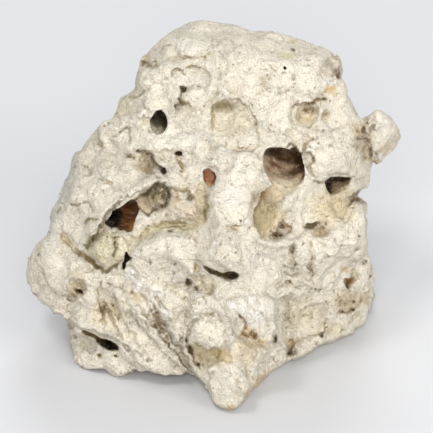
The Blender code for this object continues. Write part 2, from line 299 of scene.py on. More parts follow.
# --------------------------------------------------------------- the design
# The lumps, in design steps (x, y, z): each is the convex hull of its points.
LUMPS = {
    "mass": [
        (158, 158, 316), (230, 146, 322), (300, 151, 315), (330, 166, 304), (347, 200, 292),
        (176, 205, 325), (196, 217, 332), (237, 217, 326), (290, 216, 317), (146, 198, 309), (133, 192, 283),
        (200, 262, 302), (290, 258, 290), (332, 240, 278),
        (119, 188, 260), (108, 186, 240), (82, 184, 219), (67, 182, 197), (100, 126, 216), (50, 160, 150), (57, 114, 134),
        (100, 78, 141), (160, 90, 218), (150, 72, 165), (230, 70, 228), (283, 90, 224), (322, 102, 212), (358, 142, 218),
        (372, 178, 192), (374, 186, 202),
        (160, 62, 110), (230, 46, 175), (280, 80, 150), (330, 104, 150), (362, 142, 140),
        (100, 80, 66), (150, 62, 60), (200, 60, 40), (290, 92, 50), (340, 130, 50), (370, 170, 60),
        (72, 228, 120), (110, 250, 190), (150, 276, 200), (230, 288, 190), (310, 282, 190), (357, 250, 190),
        (366, 240, 100), (140, 268, 40), (230, 286, 40), (320, 276, 40), (92, 215, 40),
    ],
    "bulge": [
        (60, 96, 98), (29, 138, 72), (24, 150, 92), (29, 165, 52), (38, 124, 56), (60, 102, 54), (42, 118, 112),
        (57, 114, 140), (50, 160, 150), (100, 74, 99), (100, 80, 62), (58, 215, 112), (110, 150, 110), (110, 150, 60),
        (44, 192, 60),
    ],
    "foot": [
        (72, 110, -8), (65, 108, 34), (74, 90, -8), (80, 82, -8), (105, 84, -8), (114, 66, -8), (166, 63, -8), (192, 58, 16),
        (160, 60, 48), (100, 76, 63), (84, 84, 44), (80, 160, -8), (100, 215, -8), (180, 215, -8), (70, 150, 36), (190, 100, -8),
    ],
    "prow": [
        (230, -3, -8), (214, 10, -8), (204, 30, 4), (246, 18, -8), (253, 38, -8), (266, 66, -6), (225, 8, 34), (252, 22, 58),
        (236, 26, 112), (270, 46, 110), (193, 58, 40), (197, 50, 72), (276, 86, -8), (230, 120, -8), (196, 100, -8),
        (284, 80, 112), (186, 58, 104), (283, 88, 172), (236, 44, 176), (196, 56, 160),
    ],
    "shoulder": [
        (272, 84, -8), (290, 98, -8), (308, 108, -8), (320, 124, -8), (340, 142, -8), (354, 152, -8), (368, 174, -8),
        (376, 206, -8), (379, 214, 25), (380, 196, 56), (374, 166, 78), (360, 138, 66), (320, 106, 61), (320, 100, 134),
        (360, 140, 132), (370, 180, 128), (370, 200, 104), (340, 118, 160), (300, 92, 160), (282, 82, 112),
        (330, 270, -8), (368, 250, 20), (366, 250, 120),
    ],
    "base": [
        (78, 86, -8), (112, 66, -8), (165, 64, -8), (200, 76, -8), (264, 70, -8), (290, 98, -8), (354, 152, -8),
        (374, 206, -8), (366, 250, -8), (320, 276, -8), (230, 284, -8), (130, 262, -8), (84, 212, -8), (72, 122, -8),
        (100, 88, 80), (165, 72, 80), (264, 78, 80), (352, 158, 80), (366, 242, 80), (320, 280, 80), (230, 286, 80),
        (130, 264, 80), (90, 212, 80),
    ],
    "knob": [
        (373, 186, 242), (387, 188, 238), (397, 190, 224), (406, 196, 211), (402, 200, 198), (391, 196, 182), (380, 190, 172),
        (374, 170, 212), (386, 170, 210), (374, 214, 210), (392, 214, 208), (374, 200, 186),
    ],
    "neck": [
        (374, 172, 228), (374, 206, 228), (376, 174, 182), (376, 206, 184), (388, 190, 205),
        (345, 160, 236), (345, 210, 236), (345, 160, 180), (345, 210, 180),
    ],
}

# The outline of the stone in the picture plane, in pixels, down the left side from the top.
OUTLINE = [
    (161, 33.5), (157, 39), (150, 45), (147, 52), (140, 59), (139, 66), (137, 72), (136, 80), (135, 88), (130, 93),
    (124, 97), (120, 98), (119, 104), (117, 112), (113, 119), (103, 122), (97, 128), (91, 137), (86, 142), (82, 148),
    (80, 150), (75, 153), (73, 156), (71, 165), (70, 171), (65, 180), (62, 188), (60, 193), (57, 202), (53, 208),
    (51, 216), (50, 225), (49, 232), (47, 236), (44, 238), (38, 243), (32, 249), (29, 255), (27, 262), (27, 270),
    (26, 275), (28, 282), (31, 289), (34, 294), (34, 302), (38, 306), (43, 308), (49, 310), (57, 316), (61, 321),
    (64, 327), (67, 332), (68, 338), (70, 345), (72, 352), (73, 357), (75, 362), (79, 367), (84, 371), (88, 372),
    (93, 371), (100, 369), (104, 368), (107, 370), (110, 374), (113, 377), (117, 378), (122, 376.5), (130, 374),
    (136, 372), (141, 371), (146, 373), (153, 375), (158, 377), (162, 379), (166, 380), (170, 379), (176, 377),
    (182, 373.5), (186, 375.5), (191, 376), (195, 377), (200, 380), (204, 385), (207, 391), (209, 398), (211, 403),
    (216, 407), (222, 410), (228, 413), (232, 412.5), (238, 408), (243, 403), (249, 397), (253, 391), (258, 385),
    (264, 379), (269, 373), (273, 369), (280, 367), (285, 365), (289, 362), (291, 358.5), (294, 361.5), (297, 362),
    (300, 360), (305, 358), (307, 356), (311, 355), (315, 352), (318, 349), (321, 345.5), (326, 344), (331, 342.5),
    (334, 340), (340, 338.5), (346, 336), (352, 334), (358, 331), (362, 328), (366, 323), (370, 318), (373, 310),
    (374.5, 300), (375, 290), (375, 280), (374, 270), (372, 264), (369, 258), (367, 250), (366, 243), (366, 235),
    (366, 225), (366, 218), (368, 210), (368, 205), (364, 202), (360, 198), (357, 197), (356, 199), (353, 197),
    (357, 194), (361, 190), (366, 187), (369, 184), (370, 178), (371, 172), (371, 167), (370, 163), (373, 164),
    (376, 166.5), (379, 167.5), (381, 165), (382, 163), (385, 160), (390, 156), (395, 151), (397, 146), (399, 141),
    (401, 137), (403, 133), (401, 129.5), (398, 127), (394, 123), (390, 118), (386, 114), (382, 111), (377, 109.5),
    (374, 110), (371, 113), (369, 116), (365, 117.5), (360, 118.5), (358, 116), (356, 111), (353, 105), (350, 100),
    (347, 93), (345.5, 87), (344.5, 84), (343, 81), (341, 79), (341, 75), (342, 71), (343, 67), (342, 62), (341, 58),
    (338, 55), (334, 52), (329, 49), (322, 46.5), (315, 45), (309, 43.5), (303, 41), (297, 38), (291, 34), (285, 32.5),
    (278, 32), (270, 31.5), (262, 31.5), (254, 31), (248, 30), (244, 28), (238, 25), (232, 24.5), (224, 24), (218, 22.5),
    (212, 22), (206, 20.5), (200, 20), (194, 19.5), (190, 20), (186, 23), (182, 27), (177, 28.5), (172, 29.5), (166, 31),
]

# Holes that run into the stone: mouth outline in the picture plane, how far they
# run (mm), the direction they run in, how much they widen per mm, and the lip's roundness.
HOLES = {
    "main_cave": ([(262.8, 159), (263.5, 167), (266.2, 173.3), (270, 179.7), (273.8, 187.4), (279, 193), (287, 197), (296, 195),
                   (302, 190), (304.4, 183), (304.8, 176), (304, 168), (301.6, 161.5), (298.8, 155.6), (292.6, 150.8), (284, 148.2),
                   (276, 147.6), (269.4, 148), (264.4, 151.6)], 31, (0.02, 1, 0.06), 0.0, 1.0),
    "second_pit": ([(277.5, 225.5), (281, 224), (285, 226), (286, 231), (285.5, 236), (281, 238.5), (275, 238), (272, 235.5),
                    (275, 232.5), (279, 231), (280, 228.5)], 6, (0, 1, 0.1), 0.0, 0.6),
    "left_cave": ([(104, 229), (106, 225), (109, 221), (111, 216), (114, 211), (120, 208.5), (125, 204), (130, 200),
                   (135, 200.5), (138, 206), (139, 212), (136, 217), (134.5, 223), (133, 228), (130, 232), (120, 232.5),
                   (112, 231.5), (106, 230.5)], 30, (0.1, 1, 0.0), 0.08, 0.8),
    "low_cave": ([(82, 333), (88, 333), (95, 334.5), (100, 338), (105, 339), (110, 341), (115, 343.5), (118.5, 347),
                  (118, 351), (112, 352.5), (104, 352), (98, 349), (96, 345), (90, 345), (85, 341)], 24, (0.0, 1, 0.1), 0.05, 0.8),
    "right_cave": ([(325.5, 182), (331, 177.5), (337, 176.5), (344, 177), (354, 180.5), (354, 188), (350, 193.5),
                    (342, 195.5), (333, 195), (327.5, 191)], 16, (-0.45, 1, 0.0), 0.02, 0.9),
    "round_cave": ([(149.3, 122), (150, 129), (154, 133.5), (159, 134.5), (164, 132), (167, 126), (167, 118.5),
                    (164, 113), (160, 110.5), (156, 111.5), (153, 115.5)], 22, (0.10, 1, 0.05), 0.02, 0.6),
    "red_hole": ([(203, 174), (205, 170.5), (210, 170), (215, 173), (216, 179), (214, 185), (209, 187), (205, 184),
                  (203.5, 179)], 7, (0, 1, 0), -0.02, 1.0),
    "slit": ([(125.5, 251), (129, 256), (133, 258.5), (129, 260.5), (126, 263), (124.5, 266), (124.5, 270), (121.5, 275),
              (120, 274), (121.5, 266), (124.5, 259)], 12, (0.2, 1, 0), 0.0, 0.5),
    "box_hollow": ([(343, 278.6), (347, 278.4), (352, 278.6), (358, 279), (359, 283.5), (357.5, 288), (353, 289.5), (348, 289.5), (344.5, 285)],
                   8.5, (0, 1, 0), -0.05, 0.7),
    "small_hole": ([(175, 153), (178, 151), (181, 151.5), (182, 154.5), (179.5, 157), (176.5, 156.5)], 8, (0, 1, 0), 0.0, 0.6),
    "crack_pit": ([(160, 169.5), (164, 169), (167, 171.5), (165, 174.5), (161, 173.5)], 8, (0, 1, 0), 0.0, 0.5),
    "side_wedge": ([(305, 225.5), (309, 223.5), (316, 223.5), (320, 226), (316, 228.5), (311, 229), (307, 228)], 5, (0, 1, 0), 0.0, 0.7),
    "ledge_gap": ([(203, 266), (209, 267.5), (216, 270.5), (223, 273), (228, 271.5), (234, 271.5), (238.5, 274.5), (239, 279), (235.5, 283.5),
                   (229, 285), (225, 283), (220, 280.5), (213, 277.5), (207, 273)], 12, (-0.1, 1, 0.25), 0.0, 0.5),
    "bulge_hole": ([(75, 294), (78, 291.5), (82, 292.5), (83, 295.5), (80, 297.5), (76, 297)], 14, (0, 1, 0), 0.0, 0.6),
    "pit_284_68": ([(282.8, 68.3), (284.5, 66.3), (286.5, 68), (284.8, 70.3)], 5, (0, 1, 0), 0.0, 0.3),
    "heart_gap": ([(179.5, 89.5), (182, 88), (186, 88.5), (186.5, 90.5), (184.5, 92.5), (181, 93)], 6, (0, 1, 0), 0.0, 0.6),
    "corner_slot": ([(334, 68), (339, 67), (342.5, 69), (341, 76), (343, 79), (338, 79.5), (335, 75)], 7, (0.3, 1, 0), 0.0, 0.7),
}

# Round hollows of the face: picture position, half width and height (pixels), reach into
# the stone (mm), turn, and whether they run level, level to the left or square to the picture.
SCOOPS = {
    "crown_bowl": (223.5, 117.0, 12.5, 14.5, 9.5, 0, "level"),
    "cave_saddle": (272, 194, 14, 11, 9.0, 40, "level"),
    "second_cave": (264.0, 213, 18.5, 24.5, 15.0, 2, "left"),
    "shoulder_bowl": (306.5, 117.5, 11, 10.5, 10.5, 0, "level"),
    "small_bowl": (326.5, 117.5, 5.5, 6.5, 6.0, 0, "level"),
    "bulge_pit": (77, 287, 10, 10.5, 4.5, 10, "square"),
    "upper_left": (146, 161, 9, 6.5, 4.0, 40, "square"),
}

# Hollows on the sides, the back and the top (centre, half sizes, turns), in design steps and degrees.
HOLLOWS = [
    ((262, 292, 118), (34, 24, 30), (0, 0, 0)),
    ((150, 274, 206), (17, 40, 18), (0, 0, -12)),
    ((318, 270, 214), (13, 32, 12), (0, 0, 14)),
    ((50, 206, 112), (32, 18, 15), (0, 0, -30)),
    ((376, 236, 88), (28, 15, 16), (0, 0, 0)),
    ((250, 206, 328), (24, 20, 13), (0, 0, 0)),
    ((160, 62, -2), (38, 44, 16), (0, 0, 0)),
    ((304, 98, -2), (14, 20, 6), (0, 0, 38)),
    ((96, 80, -2), (9, 26, 6), (0, 0, 0)),
    ((205, 288, -2), (44, 50, 8), (0, 0, 0)),
    ((236, 176, -2), (52, 42, 7), (0, 0, 20)),
    ((140, 186, -2), (34, 30, 6.5), (0, 0, 0)),
]


# ------------------------------------------------------------ base of the field
def hull_planes(points):
    bm = bmesh.new()
    verts = [bm.verts.new(p) for p in points]
    bmesh.ops.convex_hull(bm, input=verts)
    middle = Vector(np.mean(points, 0))
    planes = set()
    for f in bm.faces:
        n = f.normal.normalized()
        if n.dot(f.calc_center_median() - middle) < 0:
            n = -n
        planes.add((round(n.x, 3), round(n.y, 3), round(n.z, 3), round(n.dot(f.calc_center_median()), 1)))
    bm.free()
    planes = np.array(sorted(planes), np.float32)
    return planes[:, :3], planes[:, 3]


def hull_distance(p, points):
    """Distance to the hull in mm, rounded at its edges."""
    normals, offsets = hull_planes([tuple((np.array(q) * STEP - SHIFT).tolist()) for q in points])
    k = 1.6
    d = p @ normals.T - offsets
    top = d.max(1, keepdims=True)
    return (top[:, 0] + k * np.log(np.exp((d - top) / k).sum(1))) - k * 0.5


say("tools ready, grid", N)
outline_map = Sheet()
uu, vv = np.meshgrid((np.arange(SN) + 0.5) / SHEET, (np.arange(SN) + 0.5) / SHEET, indexing="ij")
coarse_sheet = polygon_distance(OUTLINE, uu[::4, ::4], vv[::4, ::4])
near = np.kron(np.abs(coarse_sheet) < 14, np.ones((4, 4), bool))[:SN, :SN]
outline_map.a[..., 0] = np.kron(coarse_sheet, np.ones((4, 4)))[:SN, :SN]
outline_map.a[near, 0] = polygon_distance(OUTLINE, uu[near], vv[near])
say("outline")

cg = np.stack(np.meshgrid(CX, CY, CZ, indexing="ij"), -1).reshape(-1, 3).astype(np.float32)
warp = np.stack([2.2 * band_noise(CN, COARSE, 44, 11 + i) + 1.0 * band_noise(CN, COARSE, 19, 21 + i) for i in range(3)], -1).reshape(-1, 3)
bent = cg + warp
body = None
for name, points in LUMPS.items():
    d = hull_distance(bent, points) - (1.6 if name in ("knob", "neck") else 0.0)
    body = d if body is None else smin(body, d, 9.0 if name not in ("knob", "neck") else 5.0)
cu, cv, cdepth = project(cg.astype(float))
inside_frame = outline_map.read(np.clip(cu, 1, 432), np.clip(cv, 1, 432))[..., 0]
off_frame = np.maximum(np.maximum(1 - cu, cu - 432), np.maximum(1 - cv, cv - 432)).clip(0)
trim = (inside_frame + off_frame) * STEP
body = smax(body - 1.4, trim - 1.0, 6.0)
S = upsample(body.reshape(CN))
say("base field", S.shape)

# the fine outline
yz_depth = ((GY[:, None] - CAM[1]) * INTO[1] + (GZ[None, :] - CAM[2]) * INTO[2]).astype(np.float32)
yz_v = (MID - FOCAL * ((GY[:, None] - CAM[1]) * UP[1] + (GZ[None, :] - CAM[2]) * UP[2]) / yz_depth).astype(np.float32)
yz_s = (FOCAL / yz_depth).astype(np.float32)


def band(limit, low=-1e9):
    """Indices, and picture position and depth, of the cells near the surface."""
    idx = np.flatnonzero((np.abs(S) < limit).reshape(-1))
    i, rest = np.divmod(idx.astype(np.int32), N[1] * N[2])
    j, k = np.divmod(rest, N[2])
    u = MID + (GX[i] - CAM[0]) * yz_s[j, k]
    return idx, i, j, k, u, yz_v[j, k], yz_depth[j, k]


idx, i, j, k, u, v, depth = band(9.0)
trim = outline_map.read(u, v)[:, 0] * STEP
flat = S.reshape(-1)
flat[idx] = smax(flat[idx], trim, 2.0)
say("trimmed", len(idx))


def first_hit(margin):
    """Depth of the first surface seen at each picture position, on a grid of 1.5 pixels."""
    cell = 1.5
    n = int(FRAME_PX / cell) + 2
    idx, i, j, k, u, v, depth = band(VOX * 0.9)
    d = np.full((n, n), 1e9, np.float32)
    np.minimum.at(d, (np.clip((u / cell).astype(int), 0, n - 1), np.clip((v / cell).astype(int), 0, n - 1)), depth)
    for _ in range(margin):
        e = np.pad(d, 1, mode="edge")
        around = np.stack([e[a:a + n, b:b + n] for a in range(3) for b in range(3)])
        d = np.where(d > 1e8, around.min(0), d)
    return d, cell


HIT, HIT_CELL = first_hit(3)


def hit_depth(u, v):
    n = HIT.shape[0]
    return HIT[np.clip((u / HIT_CELL).astype(int), 0, n - 1), np.clip((v / HIT_CELL).astype(int), 0, n - 1)]


say("first hits")

# ------------------------------------------------------------- forms of the face
forms, raised, sunk = Sheet(), Sheet(), Sheet()
for points, width, height in [
    ([(106, 226), (122, 216), (138, 207)], 8, -3.5),                  # the valley of the left cave
    ([(142, 203), (152, 198), (166, 193), (180, 194), (194, 198)], 8, -4.5),
    ([(200, 180), (201, 192), (203, 205), (201, 215), (193, 223), (174, 226), (154, 231), (141, 240)], 7.5, -6.5),
    ([(282, 296), (285, 318), (288, 340), (291, 360)], 7, -5.0),      # the notch beside the prow
    ([(142, 66), (150, 64), (158, 62)], 3.5, -1.6),
    ([(262, 236), (270, 256), (272, 280)], 8, 1.0),
    ([(197, 238), (198, 252), (198, 266), (204, 280)], 3.0, -1.8),
    ([(59.5, 232), (74, 248), (88, 257), (99, 267)], 2.6, -2.2),
    ([(99, 230), (95, 238), (89, 243), (86, 249)], 2.2, -1.8),
    ([(128, 156), (140, 163), (150, 168), (160, 171)], 6, -2.6),
    ([(179, 154), (180, 163), (183, 173), (188, 182)], 3.0, -2.2),
    ([(196, 162), (198, 170), (201, 176)], 3.0, -1.2),
    ([(228, 64), (220, 77), (218, 88), (212, 98), (207, 114), (204, 130)], 2.6, -1.1),
    ([(290, 200), (292, 214), (296, 228)], 6, 1.6),
]:
    forms.line(points, width, height, reach=2.6)
for spec in [
    (146, 162, 12, 10, -4.0), (84, 200, 22, 22, 1.0), (320, 262, 20, 18, 1.0), (308, 318, 22, 18, -1.2),
    (344, 246, 16, 12, 1.0), (156, 92, 14, 14, -1.0), (240, 80, 26, 16, 0.8),
    (92, 346, 20, 10, -2.6), (362, 148, 9, 16, -2.0), (232, 372, 14, 14, 0.8), (292, 74, 18, 16, 0.6),
    (187, 212, 12, 8, 3.8), (176, 204, 4, 7, 1.6), (136, 228, 8, 7, 2.4), (204, 290, 14, 8, -2.4), (262, 254, 13, 8, -1.8),
    (330, 316, 9, 12, 1.4), (303, 318, 5, 6, -1.2), (348, 270, 6, 9, -1.0), (282, 253, 12, 8.5, 3.0),
]:
    forms.spot(*spec)
for outline, height, inner, outer, tilt in [
    # middle
    ([(133, 252), (139, 243), (150, 233), (160, 229), (172, 228), (183, 230), (190, 235), (195, 244), (197, 256), (196, 268),
      (188, 278), (176, 284), (160, 284), (148, 280), (138, 272), (131, 262)], 2.4, 9, 1.2, (-0.1, -0.3)),
    ([(199, 236), (206, 228), (216, 224), (228, 226), (236, 232), (240, 240), (241, 252), (240, 262), (238, 270), (237, 277),
      (226, 276), (216, 273), (206, 268), (199, 262), (197, 250)], 2.8, 7, 1.0, (0.1, 0.4)),
    ([(212, 150), (224, 152), (240, 153), (256, 153), (262, 162), (262, 176), (268, 186), (258, 194), (250, 204), (248, 216), (242, 224),
      (230, 226), (214, 222), (209, 206), (211, 190), (216, 174)], 2.6, 7, 1.0, (0.0, 0.1)),
    # left
    ([(90, 246), (97, 236), (106, 232), (116, 233), (124, 237), (128, 246), (126, 256), (122, 263), (116, 268), (106, 269),
      (97, 264), (90, 256)], 1.2, 5, 1.0, (0.0, 0.2)),
    ([(91, 247), (98, 238), (108, 235), (113, 240), (112, 250), (113, 260), (108, 267), (98, 264), (91, 256)], 2.2, 4, 0.9, (0, 0)),
    ([(117, 236), (124, 238), (128, 246), (126, 256), (121, 262), (116, 258), (115, 246)], 2.0, 3, 0.9, (0, 0)),
    ([(40, 248), (52, 243), (60, 238), (68, 246), (76, 253), (84, 259), (93, 265), (101, 271), (101, 281), (97, 290), (99, 300),
      (101, 312), (104, 326), (102, 334), (90, 330), (78, 326), (66, 318), (52, 310), (40, 302), (32, 290), (30, 270)], 1.8, 4, 1.2, (0, 0.6)),
    ([(122, 288), (130, 297), (140, 311), (152, 326), (165, 343), (182, 361), (186, 372), (168, 378), (150, 370), (140, 366),
      (128, 362), (121, 352), (118, 345), (110, 339), (104, 330), (104, 312), (108, 298), (114, 289)], 2.4, 3, 1.0, (0.3, -0.1)),
    ([(136, 291), (146, 288), (156, 295), (164, 305), (170, 318), (169, 330), (162, 334), (153, 323), (145, 311), (138, 301)],
     -2.0, 3, 1.2, (0, 0)),
    ([(164, 296), (174, 292), (183, 298), (186, 310), (184, 324), (180, 338), (175, 343), (170, 335), (167, 322), (163, 308)],
     2.0, 6, 2.5, (-0.3, 0.2)),
    ([(66, 200), (79, 187), (97, 179), (110, 184), (120, 192), (128, 197), (114, 205), (105, 216), (100, 230), (90, 243),
      (80, 246), (70, 236), (62, 226)], 1.8, 3, 1.0, (0.3, 0.0)),
    ([(75, 158), (90, 154), (110, 152), (126, 158), (138, 170), (150, 178), (166, 182), (150, 186), (136, 192), (128, 196),
      (120, 191), (110, 183), (97, 177), (84, 180), (74, 172)], 1.4, 5, 1.0, (0.2, 0.4)),
    ([(104, 128), (118, 120), (130, 114), (142, 116), (146, 128), (150, 138), (142, 146), (132, 150), (118, 150), (104, 146),
      (98, 136)], 1.4, 5, 1.2, (0, 0)),
    # top
    ([(177, 36), (190, 33), (206, 33), (213, 40), (214, 50), (205, 55), (190, 56), (178, 55)], 1.8, 2.5, 0.8, (-0.2, 0.5)),
    ([(142, 134), (156, 138), (170, 136), (190, 132), (208, 132), (214, 146), (218, 160), (216, 168), (206, 166), (200, 158),
      (190, 151), (176, 149), (160, 151), (146, 149), (138, 142)], 2.2, 6, 1.0, (0, 0.3)),
    ([(178.5, 93), (174, 88), (171, 80), (170.8, 74), (173, 69.5), (177.2, 68), (181.5, 70), (184.9, 75), (186.2, 69),
      (191.3, 65.8), (200.3, 66.3), (206.7, 71.4), (210.5, 78.5), (208.5, 85), (201.5, 88), (196.4, 86.5), (190, 88),
      (184.9, 89), (181, 92)], -2.0, 2.0, 0.9, (0, -0.5)),
    ([(262, 190), (254, 196), (251, 206), (252, 220), (260, 231), (272, 238), (284, 238), (292, 230), (294, 216), (290, 204),
      (282, 197), (272, 192)], -2.6, 10, 3.0, (-0.5, 0.1)),
    ([(136, 200), (147, 193), (156, 186), (164, 187), (169, 195), (165, 205), (156, 209), (149, 214), (141, 210), (136, 206)],
     -1.8, 3.0, 1.5, (0, -0.2)),
    ([(213, 36), (232, 34), (250, 40), (262, 38), (290, 44), (312, 50), (326, 54), (322, 66), (316, 78), (320, 90), (300, 94),
      (280, 96), (262, 92), (246, 94), (232, 86), (226, 74), (230, 64), (222, 54)], 0.9, 5, 1.0, (0.2, 0)),
    ([(210, 118), (212, 107), (219, 102), (229, 102), (237, 109), (240, 120), (238, 132), (230, 138), (219, 137), (212, 130)],
     -1.6, 3.5, 1.0, (-0.1, -0.8)),
    ([(226, 99), (240, 100), (250, 110), (256, 122), (260, 136), (257, 148), (246, 152), (232, 150), (220, 144), (210, 134),
      (207, 120), (212, 106)], -2.2, 2.0, 0.8, (0.4, -0.2)),
    ([(290, 116), (294, 108), (302, 104), (312, 103), (318, 108), (321, 118), (318, 128), (308, 134), (298, 131), (291, 124)],
     -1.8, 2.5, 0.9, (-0.3, -0.2)),
    ([(324, 66), (332, 54), (340, 58), (341, 68), (336, 76), (330, 82), (322, 80), (319, 76)], -2.0, 3.0, 1.0, (0.4, 0)),
    # right
    ([(304, 154), (309, 152), (315, 158), (312, 168), (316, 177), (324, 181), (331, 177), (338, 173), (350, 176), (360, 178),
      (368, 174), (371, 160), (368, 146), (360, 130), (345, 126), (328, 134), (316, 138), (306, 146)], 3.2, 9, 0.9, (0, 0.25)),
    ([(314, 184), (326, 184), (334, 197), (346, 198), (354, 195), (352, 204), (344, 216), (334, 226), (322, 238), (312, 234),
      (304, 226), (303, 208), (306, 194)], -2.6, 6, 1.6, (0.1, 0)),
    ([(296, 241), (304, 238), (309, 244), (311, 256), (308, 270), (300, 273), (295, 262), (294, 250)], 1.6, 3.0, 1.4, (-0.3, 0)),
    ([(311, 242), (318, 237), (330, 232), (342, 226), (350, 214), (356, 204), (364, 206), (366, 220), (366, 240), (364, 256),
      (353, 262), (344, 262), (341, 272), (337, 284), (326, 290), (314, 288), (312, 270)], 2.2, 4, 1.0, (0, 0)),
    ([(258, 238), (272, 241), (288, 240), (296, 236), (310, 234), (313, 240), (300, 243), (286, 247), (268, 247), (256, 244)],
     1.8, 2.0, 0.9, (0, 0)),
    ([(278, 288), (292, 286), (306, 289), (318, 296), (318, 308), (306, 314), (294, 316), (282, 314), (279, 300)], 1.0, 4, 1.0, (0, 0)),
    ([(276, 346), (292, 344), (306, 338), (322, 334), (340, 328), (358, 316), (366, 312), (362, 326), (342, 337), (320, 345),
      (300, 358), (284, 362), (274, 362)], 1.2, 2.5, 1.0, (0, 0)),
    # lower front
    ([(190, 331), (194, 322), (202, 317), (212, 316), (220, 321), (225, 331), (226, 341), (220, 346), (208, 348), (196, 347),
      (190, 343)], 3.2, 8, 0.8, (0, 0.3)),
    ([(190, 347), (200, 350), (212, 351), (224, 347), (230, 352), (231, 362), (226, 361), (218, 361), (210, 365), (206, 374),
      (198, 368), (193, 358)], -1.8, 4, 1.2, (0, -0.3)),
    ([(210, 367), (216, 362), (228, 361), (238, 367), (247, 379), (248, 392), (242, 402), (232, 410), (222, 408), (214, 402),
      (210, 390), (208, 376)], 2.6, 2.0, 0.8, (0.1, 0)),
    ([(366, 122), (374, 112), (382, 112), (390, 120), (397, 128), (392, 138), (384, 147), (376, 152), (368, 146), (364, 134)],
     1.8, 2.2, 0.8, (0.3, 0)),
    ([(224, 303), (236, 297), (250, 295), (264, 295), (273, 298), (276, 308), (275, 322), (277, 334), (272, 342), (262, 347),
      (250, 345), (240, 338), (232, 330), (227, 316)], 3.0, 3.5, 0.9, (0.25, 0)),
]:
    (raised if height > 0 else sunk).block(outline, height, inner, outer, tilt)
forms.a += 1.45 * (raised.a + sunk.a)
for points, reach, height in [
    ([(86, 250), (91, 243), (99, 231), (104, 219), (113, 207.5), (124, 199.5), (134, 194), (150, 186), (166, 181)], 7, 3.6),
    ([(136, 150), (143, 152), (151, 155), (157, 163), (162, 170)], 6, 2.6),
    ([(48, 305), (60, 315), (78, 326), (92, 331), (104, 335), (116, 340), (130, 348), (148, 358)], 7, 4.2),
    ([(206, 182), (208, 194), (208, 208), (206, 219), (200, 227)], 7, 3.8),
    ([(244, 398), (256, 370), (270, 345), (277, 320), (275, 296)], 9, 3.2),
    ([(322, 182), (331, 176), (343, 175), (356, 180), (366, 176)], 8, 2.0),
    ([(234, 409), (242, 396), (246, 378), (250, 362)], 7, 2.6),
    ([(318, 291), (321, 281.5), (325, 271), (331.3, 265), (336.4, 257), (341.5, 243), (345, 234)], 10, 3.6),
    ([(327, 298), (333, 287), (342, 272), (349, 262), (355, 250), (359, 238), (360, 228)], 9, 3.0),
    ([(294, 237), (295, 246), (295.5, 256), (297, 266)], 8, 1.0),
    ([(307, 240), (310, 252), (309, 266), (306, 276)], 5, -2.4),
    ([(276, 262), (283, 266), (292, 269), (301, 276)], 5, 2.2),
    ([(290, 284), (300, 282), (312, 286)], 5, 2.2),
    ([(300, 306), (312, 300), (322, 302)], 6, -2.0),
    ([(262, 158), (266, 150), (280, 146), (296, 147), (304, 154)], 6, 1.8),
    ([(130, 97), (140, 93), (150, 88), (158, 82)], 6, -1.6),
]:
    forms.edge(points, reach, height, wobble=1.4)
# the curled lobe beside the left cave
forms.line([(150, 206), (146, 197), (151, 188), (160, 184), (168, 187), (170, 197), (165, 206), (157, 210), (150, 206)], 2.6, -3.0, taper=False)
forms.spot(158.5, 196, 6.5, 8, 2.8)
forms.line([(155, 202), (153, 195), (158, 190), (164, 193)], 1.2, -1.6)
idx, i, j, k, u, v, depth = band(15.0)
behind = depth - hit_depth(u, v)
flat[idx] -= forms.read(u, v)[:, 0] * (1 - ramp(behind, 12, 26))
HIT, HIT_CELL = first_hit(3)
say("forms applied", len(idx))

# ------------------------------------------------------------ relief of the face
relief = Sheet()
R = relief

# broad forms: blocks, shelves and swellings
for spec in [
    (189, 48, 13, 11, 1.6), (160, 52, 12, 10, 0.8), (214, 60, 20, 16, 0.6), (255, 62, 16, 12, 0.9), (300, 62, 14, 9, 0.8),
    (165, 148, 26, 9, 1.2), (206, 146, 18, 10, 1.2), (140, 112, 9, 8, 1.2), (120, 128, 9, 9, 0.9), (104, 150, 12, 12, 0.8),
    (82, 182, 12, 14, 1.0), (84, 232, 14, 16, 1.0), (110, 246, 20, 15, 2.2), (150, 246, 16, 12, 1.2), (188, 211, 12, 8, 2.0),
    (175, 196, 7, 6, 1.5), (222, 205, 11, 20, 1.4), (232, 176, 14, 14, 1.4), (226, 262, 13, 9, 1.2), (178, 255, 14, 12, 0.8),
    (208, 334, 14, 9, 1.6), (250, 318, 24, 22, 2.2), (257, 329, 8, 8, 1.3), (236, 326, 5.5, 5, 0.9), (256, 372, 12, 14, 1.2), (222, 386, 12, 14, 0.8),
    (316, 260, 16, 12, 1.2), (292, 240, 22, 7, 1.8), (350, 240, 12, 14, 1.0), (330, 212, 16, 10, 1.0), (360, 180, 8, 9, 1.0),
    (328, 312, 16, 14, 1.0), (360, 306, 10, 14, 1.0), (300, 312, 12, 12, 0.6), (106, 312, 14, 12, 0.8), (50, 280, 14, 18, 0.8),
    (380, 128, 12, 12, 1.0), (316, 138, 16, 7, 1.0), (286, 128, 16, 14, 0.8), (340, 140, 10, 12, 0.8), (268, 100, 18, 14, 0.6),
]:
    R.spot(*spec)

